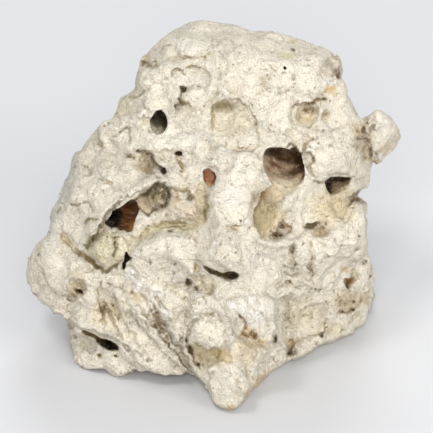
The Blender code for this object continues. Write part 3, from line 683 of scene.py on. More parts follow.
# the valleys between the blocks
LINES = [
    ([(128, 265), (140, 284), (156, 310), (172, 335), (187, 353)], 5, 0.6),
    ([(100, 229), (96, 236), (90, 243), (86, 250)], 3.0, -1.3),
    ([(75, 249), (80, 254), (88, 259), (93, 262), (100, 268.5)], 2.2, -1.2),
    ([(102, 271), (108, 270), (117, 266)], 2.0, -1.0),
    ([(124, 152), (128, 156), (136, 158)], 1.6, -1.2),
    ([(136, 150), (143, 152.5), (150, 155), (154, 160), (157, 165), (161, 169)], 2.2, -2.0),
    ([(140, 168), (146, 171), (154, 175), (162, 177)], 2.4, -1.4),
    ([(178, 157), (179.5, 163), (183, 173)], 1.6, -1.0),
    ([(129, 126), (129.4, 134), (129, 143)], 1.5, -1.0),
    ([(118, 133), (122, 129), (129, 127)], 1.5, -1.2),
    ([(97, 128), (99, 138), (103, 145)], 1.6, -0.9),
    ([(80, 166), (86, 167), (91, 172), (90, 176)], 1.4, -0.9),
    ([(70, 203.3), (77.7, 204.6), (82.8, 201.4), (88, 202.7), (92.4, 208.5), (93, 212.3)], 1.5, -1.3),
    ([(78, 209), (80.5, 213.5)], 1.2, -0.6),
    ([(84, 221.3), (91, 219.5), (99.5, 216.8)], 1.6, -1.5),
    ([(56, 215), (61, 209)], 1.4, -0.8),
    ([(120, 195), (126, 198)], 1.3, -1.0),
    ([(162, 50), (166, 46), (170, 45)], 1.3, -0.9),
    ([(130, 99), (138, 95), (144, 91), (150, 89)], 1.6, -1.0),
    ([(140, 66), (146, 64), (152, 66), (158, 61)], 1.8, -1.0),
    ([(173, 60.5), (182, 59), (192, 57)], 1.4, -0.9),
    ([(213, 38), (212, 43), (212.5, 48), (215, 50)], 1.1, -0.9),
    ([(218, 52), (222, 54)], 1.0, -0.7),
    ([(230, 40), (233, 43.5), (235, 48)], 1.1, -0.8),
    ([(263, 70.5), (268, 70)], 1.0, -0.8),
    ([(267, 79), (270, 78.5)], 1.0, -0.8),
    ([(277, 95), (281, 92.3), (290, 91)], 1.1, -0.9),
    ([(278, 86), (283, 90)], 1.0, -0.7),
    ([(290, 110), (295, 106), (300, 104), (311, 103), (318, 99.5), (327, 98)], 1.5, -1.3),
    ([(307, 127.5), (313, 129), (320, 130)], 1.3, -0.8),
    ([(189, 89.3), (199, 89)], 1.0, -0.6),
    ([(181, 91), (179.5, 97), (179.5, 103), (176, 106), (177, 111)], 1.6, -1.8),
    ([(180, 103), (185, 105), (189, 103), (190.5, 107)], 1.3, -1.3),
    ([(285, 146.5), (292.5, 144), (297, 149), (301.5, 153), (305, 152), (309, 152.8), (313, 157), (314, 163)], 1.1, -1.1),
    ([(111, 238), (115, 237), (119, 238.5)], 1.3, -1.2),
    ([(114.5, 240), (115, 247), (115, 252), (113, 257)], 1.6, -1.8),
    ([(83.7, 255.8), (93.3, 262), (102.3, 270), (105, 271), (113.8, 266.7), (122.8, 259)], 1.7, -1.5),
    ([(134, 201), (140, 196), (147, 193), (151, 188), (156, 185), (161, 184), (166, 188), (168.5, 193), (168.5, 199),
      (165, 205), (159, 207), (155, 208)], 1.7, -1.9),
    ([(152, 200), (155, 195), (160, 192), (164, 194), (163, 199), (159, 200)], 1.2, -1.4),
    ([(155, 208), (152, 212), (148, 214.5), (143, 212), (139, 208)], 1.6, -1.6),
    ([(283.8, 270.6), (287.7, 273.8), (293, 274.5), (299, 275)], 1.2, -1.2),
    ([(292.8, 268), (298.6, 266)], 1.1, -1.0),
    ([(294, 288), (300, 285.5), (305.6, 286), (310.8, 288)], 1.1, -1.1),
    ([(339, 312.3), (346, 311.5), (353.7, 310.4)], 1.3, -1.4),
    ([(222, 70.8), (218.2, 82.3), (217, 93.8), (211.8, 101.5), (202.8, 109), (201.5, 123)], 2.4, -0.7),
    ([(175.5, 107), (178, 109.5), (181, 109)], 1.3, -1.2),
    ([(184, 93), (189, 92), (194, 89)], 1.1, -0.8),
    ([(203, 266), (208, 269)], 1.4, -1.0),
    ([(230, 271), (235, 274), (238, 278)], 1.2, -0.8),
    ([(228, 236), (231, 240.5)], 1.3, -1.0),
    ([(221, 248.5), (224, 248.5)], 1.0, -0.8),
    ([(232, 250), (235, 253.5), (238, 255)], 1.2, -0.8),
    ([(186, 232), (190, 234.5), (194, 238)], 1.3, -0.9),
    ([(170, 187), (180, 190.5), (190, 193)], 1.4, -0.9),
    ([(265, 248), (268, 249)], 1.0, -0.6),
    ([(271, 257), (276, 260)], 1.1, -0.7),
    ([(283, 266), (292, 269), (300, 275)], 1.3, -0.9),
    ([(285, 282), (292, 282.5)], 1.1, -0.8),
    ([(293, 286), (302, 289), (310, 289)], 1.2, -0.8),
    ([(153, 274), (157, 277)], 1.0, -0.7),
    ([(336, 241), (338, 245), (341, 246)], 1.1, -0.8),
    ([(356, 137), (362, 139.5), (368, 140)], 1.6, -1.4),
    ([(368.5, 148), (369.5, 154), (369, 161)], 1.8, -1.6),
    ([(353, 196.5), (358, 192), (364, 188)], 1.6, -1.2),
    ([(301, 154), (305, 152), (309, 152.5), (314, 157.5)], 1.6, 0.9),
    ([(303, 158), (304, 166), (307, 174), (314, 179), (322, 180.5), (330, 177)], 1.8, 0.9),
    ([(313, 181.5), (320, 182.5), (328, 179.5)], 1.2, -0.7),
    ([(258, 156), (262, 160)], 0.9, -0.6),
    ([(273, 183), (275, 189)], 1.0, -0.6),
    ([(193, 343), (200, 346.5), (208, 350)], 1.4, -1.0),
    ([(189, 343), (190.5, 350), (193, 358)], 1.8, -0.6),
    ([(207, 320), (211, 322.5), (215, 320)], 1.3, -0.9),
    ([(187, 320), (184.5, 332), (184, 344), (187, 356)], 2.2, 1.1),
    ([(222, 305), (224, 315), (228, 330), (232, 350)], 2.4, 1.2),
    ([(236.8, 314.6), (242, 318.5), (245.8, 324.9), (244.5, 331)], 1.1, -1.2),
    ([(244.5, 334), (249.6, 333.5), (254.7, 336)], 1.7, -1.6),
    ([(185, 345), (186, 332), (190, 321), (200, 313.5), (211, 307), (219, 309.5), (226, 319.7), (229.5, 336), (231.5, 352), (240, 367)], 1.3, 0.7),
    ([(189, 342), (190, 331), (194, 323), (202, 317.5), (211, 313), (217, 314), (222, 322), (225.5, 336), (227, 350)], 1.4, -0.6),
    ([(237, 315), (242, 319)], 1.2, -0.8),
    ([(241, 358), (245, 368), (250, 378)], 2.0, -0.8),
    ([(288, 357), (291, 350), (292, 343)], 2.0, -1.2),
    ([(318, 345), (326, 341.5), (335, 338.5)], 2.4, 0.8),
    ([(340, 311), (346, 312), (353, 310.5)], 1.2, -0.9),
    ([(70, 337.5), (74, 337), (78, 338)], 1.4, -1.0),
    ([(45, 309), (55, 315), (64, 324), (75, 328)], 5.0, -1.0),
    ([(111, 218), (114, 211), (119, 207)], 1.5, 0.8),
    ([(100, 229), (104, 220), (108, 212.5), (115, 205), (122, 200.5)], 2.0, -1.2),
    ([(240, 112), (247, 118), (253, 127), (259, 130), (260, 137), (258, 147), (255, 152)], 2.0, 0.8),
    ([(212, 112), (209, 120), (208, 130), (212, 142), (220, 150)], 2.2, 0.8),
    ([(291, 113), (293, 122), (297, 130)], 1.8, -0.8),
    ([(298, 130.5), (304, 134.5), (310, 137)], 1.6, -0.7),
]
for points, width, depth_ in LINES:
    R.line(points, width, depth_ * 1.6)

# the striations of the lower left face
STREAKS = [
    [(120, 283), (128, 300), (140, 318), (155, 335)], [(130, 290), (145, 315), (157, 332)],
    [(125, 300), (140, 326), (160, 350)], [(112, 292), (122, 318), (136, 342), (152, 362)],
    [(104, 300), (114, 324), (128, 350), (138, 364)], [(140, 292), (154, 314), (170, 338), (186, 356)],
    [(160, 350), (170, 360), (180, 368)], [(170, 340), (176, 344), (182, 348)],
    [(150, 300), (160, 318), (174, 340)], [(134, 274), (148, 296), (160, 316)],
]
for points in STREAKS:
    R.line(points, 1.2, -1.4)
    R.line([(a + 3.4, b - 1.6) for a, b in points], 1.7, 1.2)

# pits
PITS = [
    (282.6, 72, 1.6, 1.8), (293, 50.3, 1.4, 1.3), (315.5, 48.5, 1.3, 1.2), (304.5, 65, 1.2, 1.0), (308, 65.5, 1.5, 1.2),
    (316.5, 88.7, 1.4, 1.3), (254.5, 116, 1.8, 1.4), (255.5, 124.3, 1.3, 1.3), (270.5, 124.7, 1.5, 1.5), (229.6, 137, 1.4, 1.0),
    (233, 136, 1.3, 1.0), (188.5, 133.4, 1.5, 1.2), (193, 124, 1.3, 0.9), (104.5, 126.5, 1.0, 0.8), (80, 187.5, 1.7, 1.5),
    (189.5, 197, 3.6, 1.6), (170.5, 231, 2.0, 1.4), (174.5, 263, 1.6, 1.2), (39, 253.5, 1.6, 1.4), (85, 245, 1.5, 1.2),
    (149.5, 262, 1.9, 1.5), (147.5, 268.5, 1.3, 1.0), (114, 304, 1.6, 1.4), (114, 311, 1.4, 1.1), (119, 318, 1.5, 1.1),
    (104, 307, 1.4, 1.0), (35.5, 297, 2.2, 1.6), (110, 284, 3.2, 1.6), (99.5, 354.5, 2.2, 1.6), (115, 355, 1.6, 1.2),
    (148, 361, 2.2, 1.5), (157, 312, 1.6, 1.2), (165, 325, 1.6, 1.2), (155, 326, 1.4, 1.1), (160, 333, 1.5, 1.1),
    (220, 244, 1.8, 1.4), (228, 256, 1.5, 1.3), (224.5, 258.5, 1.4, 1.2), (188.5, 282.5, 2.4, 1.5), (197.5, 288.5, 2.2, 1.3),
    (204, 297, 1.6, 1.2), (281.5, 226.5, 2.8, 1.8), (276, 234, 2.2, 1.4), (254, 219.5, 1.1, 1.0), (241.5, 221.5, 1.4, 1.1),
    (250, 227, 1.3, 1.0), (345, 193, 1.6, 1.2), (357, 199, 2.0, 1.8), (335, 240.5, 1.9, 1.6), (359, 236, 1.5, 1.2),
    (357, 250, 1.5, 1.2), (363.5, 263, 1.7, 1.4), (366, 261, 1.2, 1.0), (349.5, 261, 1.1, 0.8), (334, 290, 1.5, 1.3),
    (335, 300, 1.6, 1.4), (341, 301, 1.5, 1.3), (345, 304, 1.5, 1.3), (338, 306, 1.3, 1.1), (353, 302, 1.6, 1.3),
    (327, 302, 1.6, 1.3), (320.5, 290.5, 1.9, 1.4), (304, 317, 1.6, 1.3), (244.5, 335, 2.0, 1.6), (254.7, 336, 2.4, 1.7), (258.6, 341.5, 1.2, 1.2), (263.7, 342.8, 1.2, 1.2),
    (275.5, 339, 2.6, 2.0), (306.5, 308, 1.4, 1.1), (309, 316, 1.3, 1.1),
    (321, 335.5, 1.7, 1.4), (326, 328, 1.5, 1.2), (342, 330, 1.5, 1.2), (275, 338, 1.6, 1.3), (340, 313, 1.2, 1.0),
    (336, 121, 1.6, 1.2), (313.5, 138.5, 1.4, 1.1), (318, 142, 1.6, 1.1), (330, 146, 1.5, 1.1), (245.5, 45.5, 1.2, 0.9),
    (239, 52, 1.2, 0.9), (205, 57, 1.2, 0.9), (258, 253, 1.3, 1.0), (294.5, 78.5, 4.0, 1.2), (325, 92, 1.3, 1.0),
    (166, 215, 2.0, 1.2), (236.5, 278.5, 1.8, 1.2),
]
for u0, v0, r, d in PITS:
    R.spot(u0, v0, r, r, -1.2 * d, wobble=0.5)
rng = np.random.default_rng(12)
for _ in range(70):                          # crystals along the upper edge of the slope
    t = rng.uniform(0, 1)
    R.spot(127 + 15 * t + rng.normal(0, 2.2), 270 + 23 * t + rng.normal(0, 2.6), 0.9, 0.9, rng.uniform(0.5, 1.1), wobble=0.3)
for _ in range(64):                          # crumbs in the crook of the neck
    t = rng.uniform(0, 1)
    R.spot(357 + 20 * t + rng.normal(0, 3.0), 124 + 42 * t + rng.normal(0, 4.5), rng.uniform(1.2, 2.4), rng.uniform(1.1, 2.0),
           rng.choice((-1.3, 1.1)), wobble=0.4)
for cu, cv, su, sv, count in ((151, 318, 5, 10, 30), (346, 300, 8, 6, 26), (256, 337, 7, 3.5, 20), (148, 162, 7, 6, 20),
                              (228, 250, 6, 9, 26), (284, 268, 8, 5, 20), (78, 290, 5, 5, 14)):
    for _ in range(count):                   # crumbly patches
        R.spot(cu + rng.normal(0, su), cv + rng.normal(0, sv), rng.uniform(1.0, 2.0), rng.uniform(0.9, 1.8),
               rng.choice((-0.9, 0.8)), wobble=0.4)

# shallow bowls
for spec in [
    (236.5, 123, 24, 26, 1.2, 0, (0, -0.5), 0.6), (306.5, 117.5, 12.5, 12, 0.8, 0, (0, -0.4), 0.5),
    (230, 124, 9, 12, 1.2, 0, (0.3, 0), 0.3), (205, 284, 20, 12, 1.9, 6, (0, -0.4), 0.3), (75, 288, 11, 12, 0.9, 0, (0, 0), 0.5),
    (346, 300, 15, 12, 1.0, 0, (0, 0), 0.4), (322, 228, 12, 10, 1.0, 0, (0, -0.3), 0.4), (156, 90, 12, 10, 0.8, 0, (0, -0.4), 0.2),
    (330, 68, 10, 9, 0.9, 20, (0.4, 0), 0.2), (362, 150, 9, 14, 1.0, 0, (0, 0), 0.0), (214, 356, 13, 8, 0.9, 0, (0, -0.4), 0.2),
    (106, 306, 13, 12, 0.7, 0, (0, 0), 0.2), (262, 214, 9, 9, 0.8, 0, (0, 0), 0.2), (300, 256, 12, 8, 0.7, 0, (0, 0), 0.2),
]:
    R.bowl(*spec[:5], turn=spec[5], steep=spec[6], rim=spec[7])

say("relief sheet")
idx, i, j, k, u, v, depth = band(9.0)
behind = depth - hit_depth(u, v)
front = 1 - ramp(behind, 9, 22)
flat[idx] -= relief.read(u, v)[:, 0] * front
say("relief applied")


# ------------------------------------------------------------------ weathering
idx, i, j, k, u, v, depth = band(4.5)
T = 128

# how rough each part of the face is
rough = Sheet()
rough.a[...] = 0.33
for spec in [
    (365, 145, 12, 22, 0.6), (250, 318, 26, 24, 0.3), (226, 250, 14, 22, 0.25), (346, 300, 14, 12, 0.35), (159, 320, 7, 14, 0.35),
    (148, 162, 14, 10, 0.3), (158, 197, 14, 12, 0.25), (262, 254, 14, 10, 0.35), (286, 270, 14, 9, 0.25), (108, 250, 18, 18, 0.3),
    (180, 104, 9, 9, 0.4), (155, 60, 14, 10, 0.25), (78, 288, 10, 10, 0.3), (210, 358, 16, 8, 0.3), (330, 212, 16, 12, 0.15),
    (176, 140, 32, 9, -0.36), (56, 266, 13, 14, -0.28), (208, 332, 16, 12, -0.32), (100, 210, 14, 14, -0.15), (158, 120, 14, 14, -0.3),
    (232, 126, 24, 24, -0.25), (306, 118, 16, 14, -0.25), (190, 76, 20, 12, -0.3), (210, 120, 12, 20, -0.25), (340, 110, 14, 16, -0.2),
    (325, 148, 22, 18, -0.15), (236, 192, 18, 28, -0.24), (138, 328, 20, 26, -0.16), (84, 364, 20, 16, -0.2), (355, 230, 14, 22, -0.2),
    (342, 322, 26, 10, -0.15), (320, 256, 18, 16, -0.12), (344, 248, 12, 16, -0.12), (226, 384, 18, 20, -0.1), (168, 256, 24, 20, -0.15), (60, 210, 14, 30, -0.15), (270, 75, 40, 26, -0.08),
]:
    rough.spot(*spec, wobble=2.0)
rough.a[...] = np.clip(rough.a, 0.10, 1.0)


def tile(size, seed, sharp=1.0):
    a = band_noise((T, T, T), VOX, size, seed, sharp).reshape(-1)
    return a[((i % T) * T + (j % T)) * T + (k % T)]


def cells(count, seed):
    """Distance to the nearest and second nearest of `count` cubed scattered points, in cell widths."""
    rng = np.random.default_rng(seed)
    spots = rng.random((count, count, count, 3)).astype(np.float32)
    g = (np.arange(T, dtype=np.float32) + 0.5) / T * count
    base = np.floor(g).astype(int)
    near = np.full((T, T, T), 9.0, np.float32)
    second = np.full((T, T, T), 9.0, np.float32)
    for dx in (-1, 0, 1):
        for dy in (-1, 0, 1):
            for dz in (-1, 0, 1):
                bx, by, bz = base + dx, base + dy, base + dz
                o = spots[np.ix_(bx % count, by % count, bz % count)]
                d = ((bx[:, None, None] + o[..., 0] - g[:, None, None]) ** 2
                     + (by[None, :, None] + o[..., 1] - g[None, :, None]) ** 2
                     + (bz[None, None, :] + o[..., 2] - g[None, None, :]) ** 2)
                second = np.minimum(second, np.maximum(near, d))
                near = np.minimum(near, d)
    return np.sqrt(near), np.sqrt(second)


def look_up(table, shift=(0, 0, 0)):
    return table.reshape(-1)[(((i + shift[0]) % T) * T + ((j + shift[1]) % T)) * T + ((k + shift[2]) % T)]


def facets(count, seed, tilt, step, warp):
    """Chipped faces: each of `count` cubed cells has its own tilt and level, in mm."""
    rng = np.random.default_rng(seed)
    spots = rng.random((count, count, count, 3)).astype(np.float32)
    slopes = rng.normal(0, 1, (count, count, count, 3)).astype(np.float32)
    slopes *= tilt / np.linalg.norm(slopes, axis=-1, keepdims=True)
    levels = rng.uniform(-1, 1, (count, count, count)).astype(np.float32) * step
    cell = T * VOX / count
    axis = (np.arange(T, dtype=np.float32) + 0.5) / T * count
    g = [axis.reshape([-1 if a == n else 1 for n in range(3)]) + band_noise((T, T, T), VOX, 7.0, seed + 1 + a) * (warp / cell) for a in range(3)]
    base = [np.floor(x).astype(np.int32) for x in g]
    near = np.full((T, T, T), 9.0, np.float32)
    height = np.zeros((T, T, T), np.float32)
    for dx in (-1, 0, 1):
        for dy in (-1, 0, 1):
            for dz in (-1, 0, 1):
                at_ = [base[0] + dx, base[1] + dy, base[2] + dz]
                pick = ((at_[0] % count) * count + at_[1] % count) * count + at_[2] % count
                off = [at_[n] + spots[..., n].reshape(-1)[pick] - g[n] for n in range(3)]
                d = off[0] ** 2 + off[1] ** 2 + off[2] ** 2
                h = -sum(off[n] * slopes[..., n].reshape(-1)[pick] for n in range(3)) * cell + levels.reshape(-1)[pick]
                closer = d < near
                near = np.where(closer, d, near)
                height = np.where(closer, h, height)
    return height


big1, big2 = cells(11, 41)
small1, small2 = cells(22, 42)
patch = ramp(tile(30.0, 36), -0.6, 0.8)
calm = ramp(tile(22.0, 37), -0.4, 1.0)
weather = 0.30 * tile(13.0, 31)
weather += 0.75 * (look_up(big1) - 0.55) * (0.5 + 0.5 * patch)        # scallops with firm ridges
chips = look_up(facets(8, 43, 0.30, 0.40, 1.4)) * (1 - 0.3 * calm)      # chipped faces
chips += look_up(facets(18, 48, 0.26, 0.16, 0.9), (37, 11, 71)) * (1 - 0.5 * calm)
weather += 0.40 * (look_up(small1) - 0.55) * (1.15 - 0.6 * patch)
weather -= 0.45 * np.exp(-((look_up(big2) - look_up(big1)) / 0.06) ** 2) * patch   # thin creases
weather += 0.20 * (np.abs(tile(5.2, 33)) - 0.8)
for size, seed, level, rise in ((17.0, 38, 0.0, 0.75), (17.0, 38, 1.1, 0.6), (10.0, 39, 0.1, 0.55), (10.0, 39, 1.2, 0.45),
                                (6.5, 40, 0.3, 0.40), (13.0, 35, -0.3, 0.5)):
    weather += rise * (ramp(tile(size, seed), level - 0.05, level + 0.05) - 0.5)   # curved ledges where a skin has flaked off
weather += 0.16 * tile(2.8, 34)
behind = depth - hit_depth(u, v)
face = 1 - ramp(behind, 8, 20)
limb = 1 - ramp(-outline_map.read(u, v)[:, 0], 1.0, 9.0)                 # towards the edge of the picture outline
amount = (1 - face) * 0.66 + face * rough.read(u, v)[:, 0]
flat[idx] -= (weather * amount + chips * (0.30 + 0.55 * amount)) * (1 - 0.25 * limb)
say("weathered", len(idx))

INNER = 0.55 * (big1 - 0.55) + 0.45 * (small1 - 0.55) + 0.20 * band_noise((T, T, T), VOX, 5.0, 61) + 0.12 * band_noise((T, T, T), VOX, 2.8, 62)

# ------------------------------------------------------------------- carving
def carve_box(points, margin):
    lo = np.floor((np.min(points, 0) - margin - LO) / VOX).astype(int).clip(0)
    hi = np.minimum(np.ceil((np.max(points, 0) + margin - LO) / VOX).astype(int) + 1, N)
    s = tuple(slice(a, b) for a, b in zip(lo, hi))
    return s, np.stack(np.meshgrid(GX[s[0]], GY[s[1]], GZ[s[2]], indexing="ij"), -1).reshape(-1, 3).astype(float)


def carve(s, d, k, rugged=0.0):
    d = d.reshape(S[s].shape).astype(np.float32)
    if rugged:
        ix = [np.arange(a.start, a.stop) % T for a in s]
        d = d + rugged * INNER[np.ix_(*ix)] * (1 - ramp(S[s], 0.0, 4.0)) * ramp(-S[s], 0.5, 3.0)
    S[s] = smax(S[s], -d, k)


UNCUT = S.copy()
CAVES_SEEN = []
for name, (mouth, reach, direction, widen, lip) in HOLES.items():
    m = curve(mouth, closed=True, gap=1.0)
    mu, mv = m[:, 0], m[:, 1]
    rim = np.array([hit_depth(np.array([a]), np.array([b]))[0] for a, b in m])
    rim = np.median(rim[rim < 1e8]) + 0.5
    d = np.array(direction, float)
    d /= np.linalg.norm(d)
    slope = d @ INTO
    ring = np.array([at(a, b, rim) for a, b in m])
    ends = np.concatenate([ring - INTO * 30, ring + d * (reach * 1.15)])
    s, p = carve_box(ends, 3.0)
    pu, pv, pd = project(p)
    beyond = np.maximum(pd - rim, 0)
    qu, qv, _ = project(p - d * (beyond / slope)[:, None])
    lo_u, lo_v = mu.min() - 9, mv.min() - 9
    nu, nv = int((mu.max() + 9 - lo_u) * 2), int((mv.max() + 9 - lo_v) * 2)
    a, b = np.meshgrid(lo_u + np.arange(nu) / 2, lo_v + np.arange(nv) / 2, indexing="ij")
    table = polygon_distance(m, a, b).astype(np.float32)
    x = np.clip((qu - lo_u) * 2, 0, nu - 1.001)
    y = np.clip((qv - lo_v) * 2, 0, nv - 1.001)
    ix, iy = x.astype(int), y.astype(int)
    fx, fy = x - ix, y - iy
    wall = (table[ix, iy] * (1 - fx) * (1 - fy) + table[ix + 1, iy] * fx * (1 - fy)
            + table[ix, iy + 1] * (1 - fx) * fy + table[ix + 1, iy + 1] * fx * fy) * STEP
    wall = wall - widen * np.minimum(beyond, reach)
    size = 0.5 * min(np.ptp(mu), np.ptp(mv)) * STEP
    d_end = beyond / slope - reach
    shape = smax(wall, d_end, max(1.0, size * 0.7))
    shape = np.where(pd < rim - 30, 5.0, shape)
    carve(s, shape, 0.6 * lip, 1.8)
    CAVES_SEEN.append((name, ring.mean(0), reach, d, size))

for name, (cu_, cv_, ru, rv, reach, turn, way) in SCOOPS.items():
    depth0 = float(hit_depth(np.array([cu_]), np.array([cv_]))[0])
    c = at(cu_, cv_, depth0)
    a = math.radians(turn)
    scale = depth0 / FOCAL
    along = ACROSS * math.cos(a) - UP * math.sin(a)
    upward = UP * math.cos(a) + ACROSS * math.sin(a)
    axis = {"level": BACK, "square": INTO, "left": (BACK - 0.85 * ACROSS) / 1.31}[way]
    M = np.stack([along * ru * scale, upward * rv * scale, axis * reach], 1)
    inv = np.linalg.inv(M)
    corners = c + np.array([(x, y, z) for x in (-1, 1) for y in (-1, 1) for z in (-1, 1)]) @ M.T
    s, p = carve_box(corners, 3.0)
    q = (p - c) @ inv.T
    r = np.linalg.norm(q, axis=1)
    carve(s, (r - 1) * min(ru * scale, rv * scale, reach) * 0.9, 0.8, 1.0)

for centre, half, turns in HOLLOWS:
    c = np.array(centre) * STEP - SHIFT
    h = np.array(half) * STEP
    a = math.radians(turns[2])
    rot = np.array([[math.cos(a), -math.sin(a), 0], [math.sin(a), math.cos(a), 0], [0, 0, 1]])
    s, p = carve_box([c - h.max() * np.array([1, 1, 0]) - [0, 0, h[2]], c + h.max() * np.array([1, 1, 0]) + [0, 0, h[2]]], 2.0)
    q = (p - c) @ rot
    k0 = np.linalg.norm(q / h, axis=1)
    k1 = np.linalg.norm(q / h**2, axis=1) + 1e-6
    carve(s, k0 * (k0 - 1) / k1, 1.6, 1.2)
say("carved")

# pits and small bowls on the sides, the back and the top
idx, i, j, k, u, v, depth = band(VOX * 0.6)
grad = np.stack([S[np.minimum(i + 1, N[0] - 1), j, k] - S[i - 1, j, k],
                 S[i, np.minimum(j + 1, N[1] - 1), k] - S[i, j - 1, k],
                 S[i, j, np.minimum(k + 1, N[2] - 1)] - S[i, j, np.maximum(k - 1, 0)]], -1)
grad /= np.linalg.norm(grad, axis=1, keepdims=True) + 1e-6
behind = depth - hit_depth(u, v)
hidden = (behind > 14) | ((grad @ INTO > -0.05) & (outline_map.read(u, v)[:, 0] > -9))
places = np.flatnonzero(hidden & (GZ[k] > 2.5))
far = np.flatnonzero((behind > 30) & (GZ[k] > 2.5))
rng = np.random.default_rng(5)
for size, count in ((9.5, 10), (6.0, 34), (3.6, 80), (2.0, 170), (1.3, 200)):
    for n in rng.choice(far if size > 3 else places, count, replace=False):
        r = size * rng.uniform(0.7, 1.3)
        o = np.array([GX[i[n]], GY[j[n]], GZ[k[n]]], float) + grad[n] * r * rng.uniform(0.15, 0.75)
        h = r * rng.uniform(0.75, 1.3, 3)
        if o[2] - h[2] < 1.5 and size > 5:
            continue
        s, p = carve_box([o - h, o + h], 1.5)
        q = p - o
        k0 = np.linalg.norm(q / h, axis=1)
        k1 = np.linalg.norm(q / h**2, axis=1) + 1e-6
        carve(s, k0 * (k0 - 1) / k1, 0.5 + 0.12 * r)
say("pits")

# the sides and the back are worn: flakes thinner than about 1.5 mm have broken off there
soft = S.copy()
for turn in range(2):
    for axis in range(3):
        a = np.moveaxis(soft, axis, 0)
        a[1:-1] = 0.25 * a[:-2] + 0.5 * a[1:-1] + 0.25 * a[2:]
idx, i, j, k, u, v, depth = band(2.0)
worn_off = ramp(depth - hit_depth(u, v), 6, 16)
flat = S.reshape(-1)
flat[idx] += worn_off * (soft.reshape(-1)[idx] + 0.10 - flat[idx])
say("worn", len(idx))
S = np.maximum(S, -GZ[None, None, :])

# -------------------------------------------------------------------- the mesh
grid = vdb.FloatGrid(background=3.0)
grid.copyFromArray(np.clip(S, -3, 3))
grid.gridClass = vdb.GridClass.LEVEL_SET
points, quads = grid.convertToQuads(isovalue=0.0)
points = points.astype(np.float64) * VOX + LO
say("surface", points.shape, quads.shape)


def mesh_of(name, points, quads):
    mesh = bpy.data.meshes.new(name)
    mesh.vertices.add(len(points))
    mesh.vertices.foreach_set("co", (points / 1000).astype(np.float32).reshape(-1))
    mesh.loops.add(quads.size)
    mesh.loops.foreach_set("vertex_index", quads.astype(np.int32).reshape(-1))
    mesh.polygons.add(len(quads))
    mesh.polygons.foreach_set("loop_start", np.arange(0, quads.size, quads.shape[1], dtype=np.int32))
    mesh.update(calc_edges=True)
    mesh.validate()
    return mesh


def parts_of(points, quads):
    """Label of the connected body that each point belongs to."""
    label = np.arange(len(points))
    a = quads[:, [0, 1, 2, 3]].reshape(-1)
    b = quads[:, [1, 2, 3, 0]].reshape(-1)
    while True:
        low = np.minimum(label[a], label[b])
        new = label.copy()
        np.minimum.at(new, a, low)
        np.minimum.at(new, b, low)
        new = new[new]
        new = new[new]
        if (new == label).all():
            return label
        label = new


label = parts_of(points, quads)
main = np.bincount(label).argmax()
keep = label == main
quads = quads[keep[quads[:, 0]]]
renumber = np.cumsum(keep) - 1
quads = renumber[quads]
points = points[keep]
# openvdb winds its faces inwards here: check with the volume
a, b, c, d = (points[quads[:, n]] for n in range(4))
if (np.einsum("ij,ij->i", a, np.cross(b, c)).sum() + np.einsum("ij,ij->i", a, np.cross(c, d)).sum()) < 0:
    quads = quads[:, ::-1]
rock = bpy.data.objects.new("weathered_rock", mesh_of("weathered_rock", points, quads))
bpy.context.scene.collection.objects.link(rock)
say("mesh", len(points), len(quads))

thin = rock.modifiers.new("thin", "DECIMATE")
thin.ratio = min(1.0, TRIANGLES / (2 * len(quads)))
thin.use_collapse_triangulate = True
bpy.context.view_layer.update()
mesh = bpy.data.meshes.new_from_object(rock.evaluated_get(bpy.context.evaluated_depsgraph_get()))
rock.modifiers.clear()
rock.data = mesh
mesh.name = "weathered_rock"
mesh.shade_smooth()
n = len(mesh.vertices)
P = np.empty(n * 3, np.float32)
mesh.vertices.foreach_get("co", P)
P = P.reshape(-1, 3).astype(float) * 1000
NRM = np.empty(n * 3, np.float32)
mesh.vertices.foreach_get("normal", NRM)
NRM = NRM.reshape(-1, 3).astype(float)
say("thinned", n, len(mesh.polygons))

# ------------------------------------------------------------------- colouring
PU, PV, PD = project(P)
cell = 2.0
nn = int(FRAME_PX / cell) + 2
zb = np.full((nn, nn), 1e9)
ci, cj = np.clip((PU / cell).astype(int), 0, nn - 1), np.clip((PV / cell).astype(int), 0, nn - 1)
np.minimum.at(zb, (ci, cj), PD)
seen = (1 - ramp(PD - zb[ci, cj], 24.0, 40.0)) * ramp(-(NRM @ INTO), -0.30, 0.0)
plain = (1 - ramp(PD - zb[ci, cj], 12.0, 22.0)) * ramp(-(NRM @ INTO), -0.02, 0.26)


def srgb(*c):
    c = np.array(c, float) / 255
    return np.where(c <= 0.04045, c / 12.92, ((c + 0.055) / 1.055) ** 2.4)


CREAM, PALE, GREY = srgb(241, 232, 212), srgb(246, 241, 228), srgb(225, 217, 199)
TAN, OLIVE, BROWN = srgb(196, 174, 136), srgb(186, 170, 128), srgb(126, 90, 54)
RUST, DARK, YELLOW = srgb(176, 112, 60), srgb(70, 52, 34), srgb(226, 210, 160)


def closeness(r):
    """How much of the space around a point, r mm off the surface, is shut in: 0 in the open."""
    return np.clip(1 - sample(S, P + NRM * r) / r, 0, 2)


